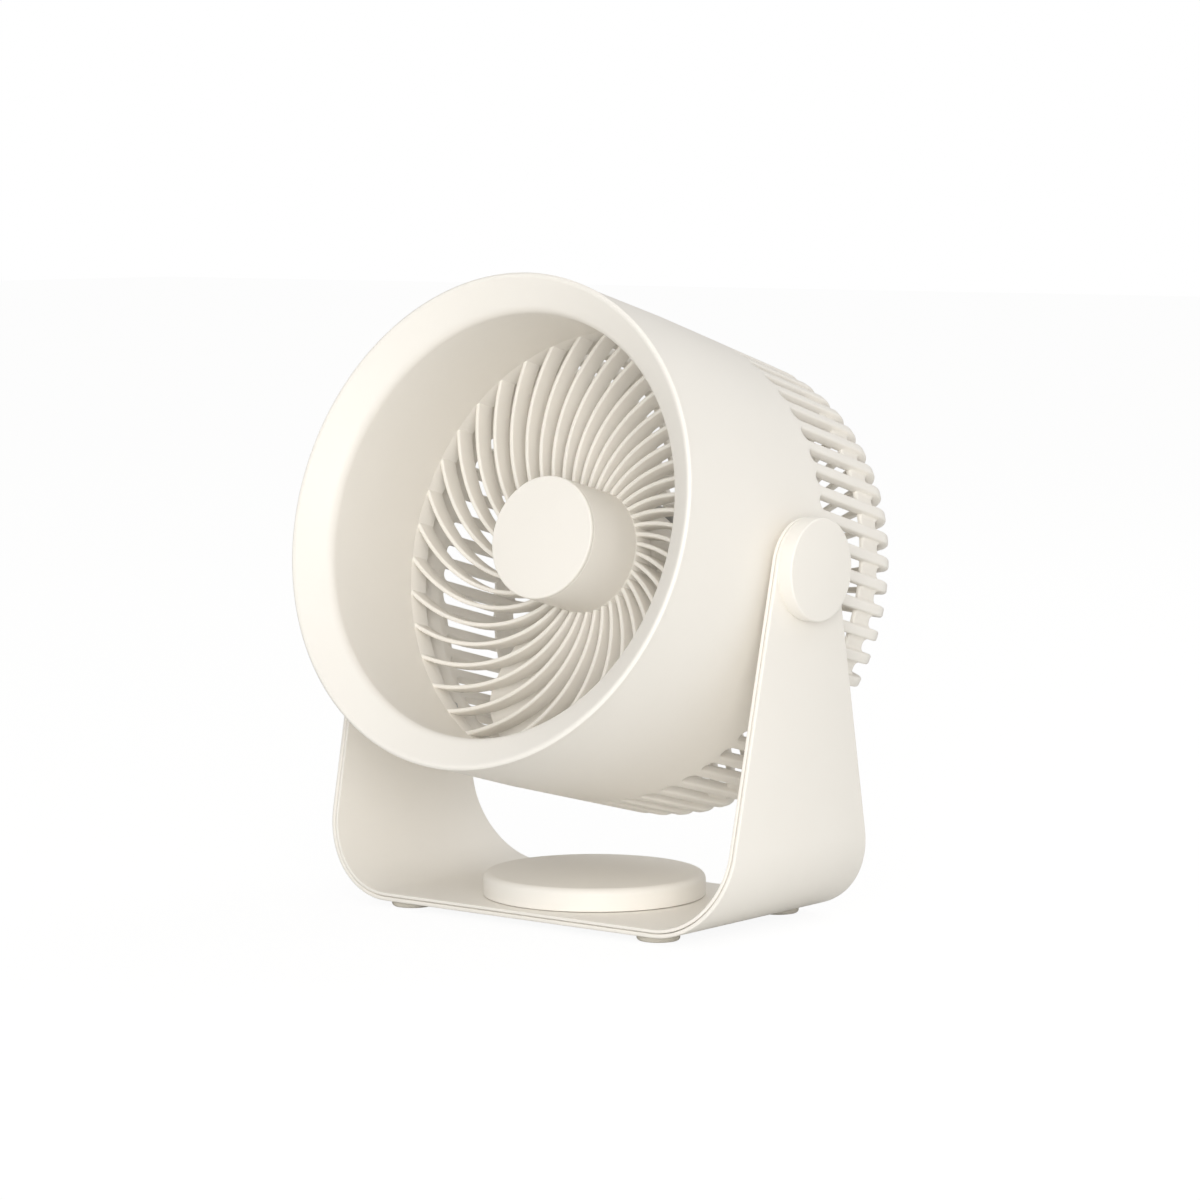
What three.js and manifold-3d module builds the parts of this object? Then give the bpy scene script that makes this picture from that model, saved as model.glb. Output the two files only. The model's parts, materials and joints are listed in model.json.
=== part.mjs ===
// Desk air circulator: a tilting drum head with a swirl grille, held in a U-shaped stand.
// Millimetres, +Z up. The air leaves the rim towards -Y, and the feet stand on z = 0.
// Head pieces are modelled about the drum's axis, with y counted back from the rim.

import * as THREE from 'three';
import { mergeVertices } from 'three/addons/utils/BufferGeometryUtils.js';
import Module from 'manifold-3d';

const wasm = await Module();
wasm.setup();

// Clearances
const seatGap = 0.3; // between pieces that rest on each other
const shaftGap = 0.3; // round a shaft, screw or spindle
const overlap = 0.4; // how far joined shapes of one moulding reach into each other
const reachPast = 1; // how far a cutter reaches past what it cuts
const pilotFloor = 1; // left under a blind screw hole

// Whole object
const tiltAtRest = 15; // degrees, front up
const pivotHeight = 160.5; // pivot axis above the floor
const rimAhead = 80.3; // rim plane ahead of the pivot axis

// Screws
const screwRadius = 1.6;
const screwHeadRadius = 3;
const screwHeadHeight = 1.7;
const smallScrew = 0.8; // size of a housing screw against the others
const housingScrewGrip = 6;
const coverScrewGrip = 6;
const motorScrewGrip = 3.2;
const smallBore = smallScrew * screwRadius + shaftGap;
const screwBore = screwRadius + shaftGap;

// Duct: it widens from the throat to the grille
const throatRadius = 94.1;
const throatDepth = 9.6;
const ductFlare = 6.7;
const ductEndRadius = throatRadius + ductFlare;
const ductEnd = 73.9;
const ductWall = 2;
const faceWall = 2.2;
const skirtWall = 1.5;
const skirtEnd = 9;
const towerWall = 0.72; // screw towers of the duct and the grille
const towerSink = 0.5; // how far a tower reaches into the duct's wall
const towerRadius = smallBore + towerWall;
const towerCircle = ductEndRadius + ductWall + towerRadius - towerSink;
const towerLength = 12;
const towerPilot = 9;

// Drum and its slotted rear end
const drumWall = 2.3;
const drumTaper = 1.9;
const drumTaperStart = 60;
const drumFrontRadius = towerCircle + towerRadius + seatGap + drumWall;
const drumBackRadius = drumFrontRadius - drumTaper;
const ribWall = 5.2; // depth of the ribs between the slots
const drumCorner = 15.5;
const ribCount = 60;
const ribStep = 360 / ribCount;
const slotWidth = 6.3;
const slotLength = 38;
const thickWallAhead = 4.5; // the wall is as thick as the ribs from here to the slots
const hoopWall = 1.8; // hoop that joins the ribs under the corner
const hoopLength = 14;
const hoopPastCorner = 2;
const backWall = 4.5;
const backHoopRadius = 62;
const backHoopHalf = 2;
const backSlotShare = 0.56; // open share of the pitch on the back
const cupRadius = 39.6;
const cupWall = 2;
const plateWall = 3;
const controlRoom = 13.8; // from the plate to the back
const lugDepth = 3;

// Rim, which hides the front edge of the drum
const rimStep = 0.5;
const rimRadius = drumFrontRadius + rimStep;
const lipWidth = 2.4;
const lipDepth = 3;
const lipEdge = 1;

// Grille and hub
const finCount = 40;
const finStep = 360 / finCount;
const finThickness = 2;
const finTwist = 0.57; // degrees of turn for each millimetre outwards
const finPhase = 1.8; // degrees from +X to a fin's root, seen from the front
const finRoot = 0.8; // how far a fin reaches into the hub's ring
const finTip = 0.6; // and into the outer ring
const grilleFront = ductEnd + seatGap;
const grilleDepth = 10.8;
const grilleEnd = grilleFront + grilleDepth;
const finFront = grilleFront + 0.3;
const finEnd = grilleEnd - 0.5;
const grilleRingWall = 1.9;
const grilleHubWall = 2.8;
const hubRadius = 27.8;
const hubWall = 1.8;
const hubLength = 33.3; // from the hub's face to the grille
const hubFace = grilleFront - hubLength;
const hubCapHeight = 2;
const hubSpigot = 4;
const hubEdge = 0.7;

// Fan wheel
const bladeCount = 3;
const wheelClearance = 4.4; // round the blades
const wheelRadius = drumBackRadius - ribWall - wheelClearance;
const wheelHubStep = 1.3; // the wheel's hub is this much smaller than the grille's
const wheelHubRadius = hubRadius - wheelHubStep;
const wheelGap = 2; // behind the grille
const wheelHubFront = grilleEnd + wheelGap;
const wheelHubDepth = 25;
const wheelHubWall = 2.2;
const wheelHubEdge = 3;
const wheelBossWall = 4;
const wheelBossShort = 2; // the boss ends this far inside the cup
const bladeThickness = 1.8;
const bladeSweep = 53; // degrees round the axis
const bladeTurnAtRest = 3; // degrees
const bladeSkew = 18; // degrees that the tip runs ahead of the root
const bladeRootShare = 0.25; // part of the sweep missing at the root
const bladeTipShare = 0.3; // and, beyond bladeTipFrom, at the tip
const bladeTipFrom = 0.8;
const bladeCamber = 3;
const bladeRise = 22; // front to back at the hub
const bladeTipRise = 15;
const shaftRadius = 3;
const shaftProud = 0.7; // in front of the nut
const nutRadius = 6;
const nutHeight = 3.5;
const shaftFront = wheelHubFront - seatGap - nutHeight - shaftProud;

// Motor, screwed to the plate of the drum's cup
const motorGap = 4; // behind the wheel
const motorFront = wheelHubFront + wheelHubDepth + motorGap;
const motorRadius = 30;
const motorWall = 2.1;
const motorHalfLength = 16.8;
const plateDepth = motorFront + 2 * (motorHalfLength + seatGap);
const bearingRadius = 8;
const bearingWidth = 5;
const coreLength = 14;
const coreGap = 0.4; // between the stator and the casing
const coreRadius = motorRadius - motorWall - coreGap;
const rotorRadius = 17.3;
const airGap = 0.6;
const coreBore = rotorRadius + airGap;
const windingLength = 6;
const windingInset = 0.9; // the winding is this much smaller than the core, inside
const windingStep = 1; // and outside
const motorScrewCircle = 20;
const motorScrewCount = 3;

// Places along the drum that follow from the motor's end
const drumDepth = plateDepth + plateWall + controlRoom;
const hoopEnd = drumDepth - drumCorner + hoopPastCorner;
const cornerStep = 1;
const cornerInside = hoopEnd - cornerStep; // where the wall's inside turns towards the back
const slotEnd = hoopEnd - hoopLength;
const slotStart = slotEnd - slotLength;
const thickWallStart = slotStart - thickWallAhead;

// Controls on the back
const coverThickness = 2.5;
const coverScrewInset = 8.6; // from the cup's edge
const coverScrewCircle = cupRadius - coverScrewInset;
const coverPostRadius = 3.4;
const switchSide = 22;
const switchDepth = 8.8;
const spindleRadius = 3;
const spindleLength = 15;
const knobRadius = 16.5;
const knobHeight = 11;
const knobGripWidth = 8;
const knobGripHeight = 5;
const knobEdge = 1;
const knobLift = 1; // between the knob and the cover
const inletRadius = 4.8;
const inletLength = 12.2;
const inletBore = 2.9;
const inletPin = 0.9;
const inletBelow = 25;
const inletProud = 1.2;
const inletPocket = 9;
const inletPinShort = 1.5;

// Tilt pivots
const boltRadius = 3;
const boltHeadRadius = 6;
const boltHeadHeight = 3.4;
const springWasherHeight = 0.8;
const frictionWasherRadius = 10;
const frictionWasherHeight = 0.65;
const insertRadius = 5;
const insertLength = 7;
const headBossStep = 2.5; // the drum's round pads stand this proud
const headBossX = drumFrontRadius + headBossStep;
const headBossRadius = 15;
const headBossCoreRadius = 8;
const boltEndX = headBossX - seatGap - insertLength - 0.1;
const headBossInnerX = boltEndX - 1.3;

// Stand
const footHeight = 2.7;
const footRadius = 9.5;
const footEdge = 0.8;
const outerShellWall = 1.9;
const innerShellWall = 1.5;
const bandWall = outerShellWall + seatGap + innerShellWall;
const armSlack = 0.25; // lets the arms flex
const armPivotX = headBossX + 2 * seatGap + frictionWasherHeight + armSlack + bandWall;
const armSplay = 2.5; // the arms stand this much wider at the pivot than at the bend
const armFootX = armPivotX - armSplay;
const standBend = 38.9; // outside radius of the bend from floor to arm
const standHalfDepth = 56.7; // front to back, at the floor
const footInsetX = 5.8; // from the end of the flat floor
const footInsetY = 12.7; // from the floor's edge
const footX = armFootX - standBend - footInsetX;
const footY = standHalfDepth - footInsetY;
const armTopRadius = 22;
const pivotBossStep = 0.6; // the arm's round boss stands this proud
const pivotBossX = armPivotX + pivotBossStep;
const pivotCapRadius = 22.5;
const pivotCapHeight = 6.9;
const pivotCapX = pivotBossX + pivotCapHeight;
const pivotCapWall = 2;
const pivotCapEdge = 1;

// Round cover on the floor of the stand, with the weight under it
const baseDiscRadius = 51;
const baseDiscHeight = 10.5;
const baseDiscWall = 2;
const baseDiscEdge = 2.4; // rounding of the top edge
const baseScrewInset = 9; // from the cover's edge
const baseScrewCircle = baseDiscRadius - baseScrewInset;
const baseBossRadius = 4.5;
const baseScrewGrip = 6; // length of a base screw inside the cover's boss
const weightGap = 4.5; // between the weight and the screw bosses
const weightRadius = baseScrewCircle - baseBossRadius - weightGap;
const weightHeight = 6;
const baseRibInset = 4; // ring that holds the weight down
const baseRibRadius = weightRadius - baseRibInset;
const baseRibWall = 2;

// Colours
const cream = { color: 0xebe5d8, roughness: 0.55, metalness: 0 };
const steel = { color: 0xb9bcc0, roughness: 0.35, metalness: 1 };
const darkSteel = { color: 0x6d7075, roughness: 0.45, metalness: 1 };
const brassLook = { color: 0xc9a45c, roughness: 0.35, metalness: 1 };
const copper = { color: 0xb4693a, roughness: 0.4, metalness: 1 };
const rubber = { color: 0xb9b2a4, roughness: 0.9, metalness: 0 };
const blackPlastic = { color: 0x2a2a2c, roughness: 0.6, metalness: 0 };

const radians = THREE.MathUtils.degToRad;
const fine = 60; // facets round the drum
const medium = 32;
const bored = 24;
const hidden = 16;
const coarse = 8;
const corners = [45, 135, 225, 315]; // degrees

const fan = new THREE.Group();
const head = new THREE.Group();
const fromRim = new THREE.Group();
fan.add(head);
head.add(fromRim);
head.position.z = pivotHeight;
head.rotation.x = -radians(tiltAtRest);
fromRim.position.y = -rimAhead;

function addPiece(group, name, geometry, look) {
  const mesh = new THREE.Mesh(geometry, new THREE.MeshStandardMaterial(look));
  mesh.name = name;
  group.add(mesh);
  return mesh;
}

// ---- shape helpers

function signedVolume(geometry) {
  const position = geometry.attributes.position;
  const index = geometry.index.array;
  const corners = [new THREE.Vector3(), new THREE.Vector3(), new THREE.Vector3()];
  let volume = 0;
  for (let i = 0; i < index.length; i += 3) {
    corners.forEach((corner, k) => corner.fromBufferAttribute(position, index[i + k]));
    volume += corners[0].dot(corners[1].cross(corners[2])) / 6;
  }
  return volume;
}

// Shares the vertices of a closed shape, drops its flat triangles and turns its faces outwards.
function closed(geometry) {
  const bare = geometry.clone();
  bare.deleteAttribute('normal');
  bare.deleteAttribute('uv');
  const merged = mergeVertices(bare, 1e-4);
  const index = [];
  const old = merged.index.array;
  for (let i = 0; i < old.length; i += 3) {
    const [a, b, c] = [old[i], old[i + 1], old[i + 2]];
    if (a !== b && b !== c && a !== c) index.push(a, b, c);
  }
  merged.setIndex(index);
  if (signedVolume(merged) < 0) {
    for (let i = 0; i < index.length; i += 3) [index[i], index[i + 1]] = [index[i + 1], index[i]];
    merged.setIndex(index);
  }
  return merged;
}

function toSolid(geometry) {
  const shape = closed(geometry);
  const vertProperties = new Float32Array(shape.attributes.position.array);
  const triVerts = new Uint32Array(shape.index.array);
  return new wasm.Manifold(new wasm.Mesh({ numProp: 3, vertProperties, triVerts }));
}

function toGeometry(solid) {
  const mesh = solid.getMesh();
  const geometry = new THREE.BufferGeometry();
  geometry.setAttribute('position', new THREE.BufferAttribute(mesh.vertProperties, 3));
  geometry.setIndex(new THREE.BufferAttribute(mesh.triVerts, 1));
  return geometry;
}

function join(...geometries) {
  return geometries.map(toSolid).reduce((all, solid) => all.add(solid));
}

function cut(solid, geometries) {
  return geometries.map(toSolid).reduce((left, cutter) => left.subtract(cutter), solid);
}

// Turns a closed outline of [radius, y] points about the Y axis.
function turned(outline, segments) {
  const points = outline.map(([r, y]) => new THREE.Vector2(r, y));
  const onAxis = outline[0][0] === 0 && outline[outline.length - 1][0] === 0;
  if (!onAxis) points.push(points[0].clone());
  return closed(new THREE.LatheGeometry(points, segments));
}

// A rod along Y, with a bore if one is given.
function rod(radius, from, to, segments, bore = 0) {
  const outline = [[bore, from], [radius, from], [radius, to], [bore, to]];
  return turned(outline, segments);
}

function alongX(geometry) {
  return geometry.clone().rotateZ(-Math.PI / 2);
}

function alongZ(geometry) {
  return geometry.clone().rotateX(Math.PI / 2);
}

function mirroredX(geometry) {
  return geometry.clone().rotateZ(Math.PI);
}

// Puts a shape modelled about the axis at a radius and an angle, seen from the front.
function atAngle(geometry, radius, degrees) {
  return geometry.clone().translate(radius, 0, 0).rotateY(-radians(degrees));
}

// A flat outline in X and Z, as thick as from one y to another.
function slabY(shape, from, to) {
  const geometry = new THREE.ExtrudeGeometry(shape, { depth: to - from, bevelEnabled: false });
  return geometry.rotateX(Math.PI / 2).translate(0, to, 0);
}

// A flat outline in Y and Z, as thick as from one x to another.
function slabX(shape, from, to) {
  const geometry = new THREE.ExtrudeGeometry(shape, { depth: to - from, bevelEnabled: false });
  const turn = new THREE.Matrix4().makeBasis(
    new THREE.Vector3(0, 1, 0), new THREE.Vector3(0, 0, 1), new THREE.Vector3(1, 0, 0));
  return geometry.applyMatrix4(turn).translate(from, 0, 0);
}

function outlineShape(points) {
  return new THREE.Shape(points.map(([x, y]) => new THREE.Vector2(x, y)));
}

function arc(centreX, centreY, radius, fromDegrees, toDegrees, steps) {
  const points = [];
  for (let i = 0; i <= steps; i += 1) {
    const angle = radians(fromDegrees + ((toDegrees - fromDegrees) * i) / steps);
    points.push([centreX + radius * Math.cos(angle), centreY + radius * Math.sin(angle)]);
  }
  return points;
}

// A pan-head screw along Y: its head's flat underside is at y = 0 and its shank runs to -length.
function screw(length) {
  return turned([
    [0, -length], [screwRadius, -length + screwRadius], [screwRadius, 0], [screwHeadRadius, 0],
    [screwHeadRadius, screwHeadHeight * 0.5], [0, screwHeadHeight],
  ], coarse);
}

// ---- stand

const standFloor = footHeight + seatGap; // underside of the stand
const standTop = pivotHeight + armTopRadius + reachPast;
const splay = Math.atan2(armPivotX - armFootX, pivotHeight - standFloor - standBend);
const baseTop = standFloor + bandWall; // upper side of the stand's floor

// Right half of the band at a depth under its outer face, from the bend's foot to the top.
function bandEdge(inset) {
  const level = standFloor + standBend;
  const lineOffset = armFootX * Math.cos(splay) - level * Math.sin(splay);
  const centreX = (lineOffset - standBend + level * Math.sin(splay)) / Math.cos(splay);
  const points = arc(centreX, level, standBend - inset, -90, -THREE.MathUtils.radToDeg(splay), 7);
  const topX = (lineOffset - inset + standTop * Math.sin(splay)) / Math.cos(splay);
  points.push([topX, standTop]);
  return points;
}

function bandShape(outerInset, innerInset) {
  const outer = bandEdge(outerInset);
  const inner = bandEdge(innerInset);
  const flip = ([x, y]) => [-x, y];
  return outlineShape([
    ...outer.map(flip).reverse(), ...outer, ...inner.slice().reverse(), ...inner.map(flip),
  ]);
}

// Side view of the stand: wide at the floor, straight edges that run onto the round top.
function sideShape() {
  const reach = Math.hypot(standHalfDepth, pivotHeight - standFloor);
  const down = Math.atan2(standFloor - pivotHeight, standHalfDepth);
  const touch = THREE.MathUtils.radToDeg(down + Math.acos(armTopRadius / reach));
  const top = arc(0, pivotHeight, armTopRadius, touch, 180 - touch, 14);
  return outlineShape([[-standHalfDepth, standFloor], [standHalfDepth, standFloor], ...top]);
}

function bothArms(geometry) {
  return [geometry, mirroredX(geometry)];
}

function atPivot(geometry) {
  return geometry.clone().translate(0, 0, pivotHeight);
}

function armRod(radius, from, to, segments, bore = 0) {
  return bothArms(alongX(rod(radius, from, to, segments, bore))).map(atPivot);
}

function standBlank(outerInset, innerInset) {
  const band = toSolid(slabY(bandShape(outerInset, innerInset), -standHalfDepth, standHalfDepth));
  const side = toSolid(slabX(sideShape(), -pivotCapX, pivotCapX));
  return band.intersect(side);
}

function baseScrewSpots() {
  return corners.map((degrees) => [
    baseScrewCircle * Math.cos(radians(degrees)), baseScrewCircle * Math.sin(radians(degrees)),
  ]);
}

function standShells() {
  const holes = baseScrewSpots().map(([x, y]) => alongZ(
    rod(screwBore, standFloor - reachPast, baseTop + reachPast, coarse)).translate(x, y, 0));
  const boltHoles = armRod(boltRadius + shaftGap, armFootX - 2 * bandWall, pivotCapX, coarse);
  const outerInnerX = armPivotX - outerShellWall / 2;
  const bosses = armRod(armTopRadius, outerInnerX, pivotBossX, medium);
  let outer = standBlank(0, outerShellWall);
  bosses.forEach((boss) => { outer = outer.add(toSolid(boss)); });
  const inner = standBlank(outerShellWall + seatGap, bandWall);
  addPiece(fan, 'stand_outer_shell', toGeometry(cut(outer, [...holes, ...boltHoles])), cream);
  addPiece(fan, 'stand_inner_shell', toGeometry(cut(inner, [...holes, ...boltHoles])), cream);
}

function feet() {
  const foot = alongZ(turned([
    [0, 0], [footRadius - footEdge, 0], [footRadius, footEdge], [footRadius, footHeight], [0, footHeight],
  ], hidden));
  const spots = [[footX, -footY], [footX, footY], [-footX, footY], [-footX, -footY]];
  spots.forEach(([x, y], i) => {
    addPiece(fan, `foot_${i + 1}`, foot.clone(), rubber).position.set(x, y, 0);
  });
}

// Cover, weight and screws of the base, modelled upwards from the stand's floor.
function baseDisc() {
  const bottom = baseTop + seatGap;
  const top = baseTop + baseDiscHeight;
  const ceiling = top - baseDiscWall;
  const edge = arc(baseDiscRadius - baseDiscEdge, top - baseDiscEdge, baseDiscEdge, 0, 90, 2);
  const holdDown = bottom + weightHeight + seatGap;
  const cover = join(
    alongZ(turned([
      [baseDiscRadius, bottom], ...edge, [0, top], [0, ceiling],
      [baseDiscRadius - baseDiscWall, ceiling], [baseDiscRadius - baseDiscWall, bottom],
    ], medium)),
    alongZ(rod(baseRibRadius, holdDown, ceiling + overlap, medium, baseRibRadius - baseRibWall)),
    ...baseScrewSpots().map(([x, y]) => alongZ(
      rod(baseBossRadius, bottom, ceiling + overlap, coarse)).translate(x, y, 0)),
  );
  const pilots = baseScrewSpots().map(([x, y]) => alongZ(
    rod(screwBore, bottom - reachPast, ceiling - pilotFloor, coarse)).translate(x, y, 0));
  addPiece(fan, 'base_disc', toGeometry(cut(cover, pilots)), cream);
  const weight = alongZ(rod(weightRadius, bottom, bottom + weightHeight, medium));
  addPiece(fan, 'base_weight', weight, darkSteel);
  baseScrewSpots().forEach(([x, y], i) => {
    const piece = alongZ(screw(baseTop - standFloor + baseScrewGrip).rotateX(Math.PI));
    piece.translate(x, y, standFloor - seatGap);
    addPiece(fan, `base_screw_${i + 1}`, piece, steel);
  });
}

// Hollow caps over the pivot bolts.
function pivotCaps() {
  const from = pivotBossX + seatGap;
  const inner = pivotCapRadius - pivotCapWall;
  const cap = alongX(turned([
    [0, pivotCapX - pivotCapWall], [inner, pivotCapX - pivotCapWall], [inner, from],
    [pivotCapRadius, from], [pivotCapRadius, pivotCapX - pivotCapEdge],
    [pivotCapRadius - pivotCapEdge, pivotCapX], [0, pivotCapX],
  ], medium));
  const names = ['pivot_cap_right', 'pivot_cap_left'];
  bothArms(cap).forEach((shape, i) => addPiece(fan, names[i], atPivot(shape), cream));
}

// ---- head

// Rim, sloping face, duct wall and the skirt that seats in the drum.
function frontRing() {
  const slope = throatDepth / (rimRadius - lipWidth - throatRadius);
  const skirtRadius = drumFrontRadius - drumWall - seatGap;
  const drop = faceWall / Math.cos(Math.atan(slope));
  const under = (radius) => (rimRadius - lipWidth - radius) * slope + drop;
  const ductOutside = throatRadius + ductWall + overlap;
  const skirtInside = skirtRadius - skirtWall;
  const ringBody = turned([
    [rimRadius, lipEdge], [rimRadius - lipEdge, 0], [rimRadius - lipWidth, lipEdge / 2],
    [throatRadius, throatDepth], [ductEndRadius, ductEnd], [ductEndRadius + ductWall, ductEnd],
    [ductOutside, under(ductOutside)], [skirtInside, under(skirtInside)], [skirtInside, skirtEnd],
    [skirtRadius, skirtEnd], [skirtRadius, lipDepth], [rimRadius, lipDepth],
  ], fine);
  const towers = corners.map((angle) => atAngle(
    rod(towerRadius, ductEnd - towerLength, ductEnd, coarse), towerCircle, angle));
  const pilots = corners.map((angle) => atAngle(
    rod(smallBore, ductEnd - towerPilot, ductEnd + reachPast, coarse), towerCircle, angle));
  const ring = cut(join(ringBody, ...towers), pilots);
  addPiece(fromRim, 'front_ring', toGeometry(ring), cream);
}

function drumRadiusAt(depth) {
  const share = Math.max(0, depth - drumTaperStart) / (drumDepth - drumCorner - drumTaperStart);
  return drumFrontRadius - (drumFrontRadius - drumBackRadius) * share;
}

// The turned blank of the drum, before its slots are cut.
function drumBlank() {
  const cornerR = drumBackRadius - drumCorner;
  const cornerY = drumDepth - drumCorner;
  const front = lipDepth + seatGap;
  const ribInside = drumBackRadius - ribWall;
  const outer = [front, drumTaperStart].map((depth) => [drumRadiusAt(depth), depth]);
  return turned([
    ...outer, ...arc(cornerR, cornerY, drumCorner, 0, 90, 3),
    [cupRadius - overlap, drumDepth], [cupRadius - overlap, drumDepth - backWall],
    [cornerR, drumDepth - backWall], [ribInside, cornerInside], [ribInside, thickWallStart],
    [drumFrontRadius - drumWall, thickWallStart - ribWall], [drumFrontRadius - drumWall, front],
  ], fine);
}

// The space between two ribs, as a wedge that narrows towards the axis. It is open through the
// wall, runs over the hoop as a groove and goes through the back as far in as the back's hoop.
function slotCutter() {
  const beyond = rimRadius + reachPast;
  const behind = drumDepth + reachPast;
  const ribInside = drumBackRadius - ribWall;
  const within = ribInside - reachPast;
  const hoopTop = ribInside + hoopWall;
  const hoopInner = backHoopRadius + backHoopHalf;
  return wedge([
    [within, slotStart], [beyond, slotStart], [beyond, behind], [hoopInner, behind],
    [hoopInner, hoopEnd], [hoopTop, hoopEnd], [hoopTop, slotEnd], [within, slotEnd],
  ], slotWidth / 2 / drumBackRadius);
}

// The space between two of the ribs near the centre of the back.
function innerSlotCutter() {
  const from = cupRadius + overlap;
  const to = backHoopRadius - backHoopHalf;
  const behind = drumDepth + reachPast;
  return wedge([
    [from, hoopEnd], [to, hoopEnd], [to, behind], [from, behind],
  ], radians(ribStep * backSlotShare));
}

// An outline of [radius, y] points, as wide as its share of the radius to either side.
function wedge(outline, share) {
  const geometry = new THREE.ExtrudeGeometry(outlineShape(outline), { depth: 2, bevelEnabled: false });
  geometry.translate(0, 0, -1);
  const position = geometry.attributes.position;
  for (let i = 0; i < position.count; i += 1) {
    position.setZ(i, position.getZ(i) * position.getX(i) * share);
  }
  return geometry;
}

function repeated(geometry, count) {
  return Array.from({ length: count }, (_, i) => atAngle(geometry, 0, (i * 360) / count));
}

// Drum, ribs, back, the cup for the controls, the pivot bosses and the screw lugs: one moulding.
function rearHousing() {
  let housing = cut(toSolid(drumBlank()), [
    ...repeated(slotCutter(), ribCount), ...repeated(innerSlotCutter(), ribCount / 2),
  ]);
  const cup = turned([
    [0, plateDepth], [cupRadius, plateDepth], [cupRadius, drumDepth],
    [cupRadius - cupWall, drumDepth], [cupRadius - cupWall, plateDepth + plateWall],
    [0, plateDepth + plateWall],
  ], medium);
  const coverSeat = drumDepth - coverThickness - seatGap;
  const post = rod(coverPostRadius, plateDepth + plateWall - overlap, coverSeat, coarse);
  const posts = [0, 180].map((angle) => atAngle(post, coverScrewCircle, angle));
  const wallAt = drumFrontRadius - drumWall;
  const pads = bothArms(alongX(rod(headBossRadius, wallAt, headBossX, bored)));
  const cores = bothArms(alongX(
    rod(headBossCoreRadius, headBossInnerX, wallAt + drumWall, bored)));
  const lugAt = grilleEnd + seatGap;
  const lugInside = towerCircle - towerRadius;
  const lug = new THREE.BoxGeometry(wallAt + overlap - lugInside, lugDepth, 2 * towerRadius);
  lug.translate((wallAt + overlap + lugInside) / 2, lugAt + lugDepth / 2, 0);
  const lugs = corners.map((angle) => atAngle(lug, 0, angle));
  const pivotPieces = [...pads, ...cores].map((shape) => shape.translate(0, rimAhead, 0));
  [cup, ...posts, ...pivotPieces, ...lugs].forEach((shape) => {
    housing = housing.add(toSolid(shape));
  });
  const insertBore = rod(insertRadius + shaftGap, headBossInnerX - reachPast, headBossX + reachPast, bored);
  const lugHole = rod(smallBore, lugAt - reachPast, lugAt + lugDepth + reachPast, coarse);
  const plateBack = plateDepth + plateWall;
  const coverPilot = rod(screwBore, plateBack + pilotFloor, coverSeat + reachPast, coarse);
  const motorHole = rod(screwBore, plateDepth - reachPast, plateBack + reachPast, coarse);
  housing = cut(housing, [
    ...bothArms(alongX(insertBore)).map((shape) => shape.translate(0, rimAhead, 0)),
    ...corners.map((angle) => atAngle(lugHole, towerCircle, angle)),
    ...[0, 180].map((angle) => atAngle(coverPilot, coverScrewCircle, angle)),
    ...motorScrewAngles().map((angle) => atAngle(motorHole, motorScrewCircle, angle)),
  ]);
  addPiece(fromRim, 'rear_housing', toGeometry(housing), cream);
}

function motorScrewAngles() {
  return Array.from({ length: motorScrewCount }, (_, i) => 90 + (i * 360) / motorScrewCount);
}

// One curved fin from the inner ring to the outer ring, of even thickness.
function fin() {
  const from = hubRadius - finRoot;
  const to = ductEndRadius + finTip;
  const steps = 4;
  const sides = [[], []];
  for (let i = 0; i <= steps; i += 1) {
    const radius = from + ((to - from) * i) / steps;
    const angle = -radians(finTwist * (radius - hubRadius));
    const lean = Math.atan(-radius * radians(finTwist));
    const along = angle + lean;
    [-1, 1].forEach((side, k) => {
      const offset = (side * finThickness) / 2;
      sides[k].push([
        radius * Math.cos(angle) - offset * Math.sin(along),
        radius * Math.sin(angle) + offset * Math.cos(along),
      ]);
    });
  }
  return slabY(outlineShape([...sides[0], ...sides[1].reverse()]), finFront, finEnd);
}

function frontGrille() {
  const rings = [
    rod(hubRadius, grilleFront, grilleEnd, medium, hubRadius - grilleHubWall),
    rod(ductEndRadius + grilleRingWall, grilleFront, grilleEnd, fine, ductEndRadius),
  ];
  const lug = rod(towerRadius, grilleFront, grilleEnd, coarse);
  const lugs = corners.map((angle) => atAngle(lug, towerCircle, angle));
  const holes = corners.map((angle) => atAngle(
    rod(smallBore, grilleFront - reachPast, grilleEnd + reachPast, coarse), towerCircle, angle));
  let grille = join(...rings, ...lugs);
  for (let i = 0; i < finCount; i += 1) {
    grille = grille.add(toSolid(atAngle(fin(), 0, finPhase + i * finStep)));
  }
  addPiece(fromRim, 'front_grille', toGeometry(cut(grille, holes)), cream);
}

function hub() {
  const capBack = hubFace + hubCapHeight;
  const barrelFront = capBack + seatGap;
  const barrelEnd = grilleFront - seatGap;
  const inside = hubRadius - hubWall;
  const spigot = hubRadius - grilleHubWall - seatGap;
  addPiece(fromRim, 'hub_barrel', turned([
    [hubRadius, barrelFront], [hubRadius, barrelEnd], [spigot, barrelEnd],
    [spigot, barrelEnd + hubSpigot], [spigot - hubWall, barrelEnd + hubSpigot],
    [spigot - hubWall, barrelEnd - hubWall], [inside, barrelEnd - hubWall], [inside, barrelFront],
  ], medium), cream);
  addPiece(fromRim, 'hub_cap', turned([
    [0, hubFace], [hubRadius - hubEdge, hubFace], [hubRadius, hubFace + hubEdge], [hubRadius, capBack],
    [inside - seatGap, capBack], [inside - seatGap, capBack + hubSpigot],
    [inside - seatGap - hubWall, capBack + hubSpigot], [inside - seatGap - hubWall, capBack],
    [0, capBack],
  ], medium), cream);
}

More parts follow.
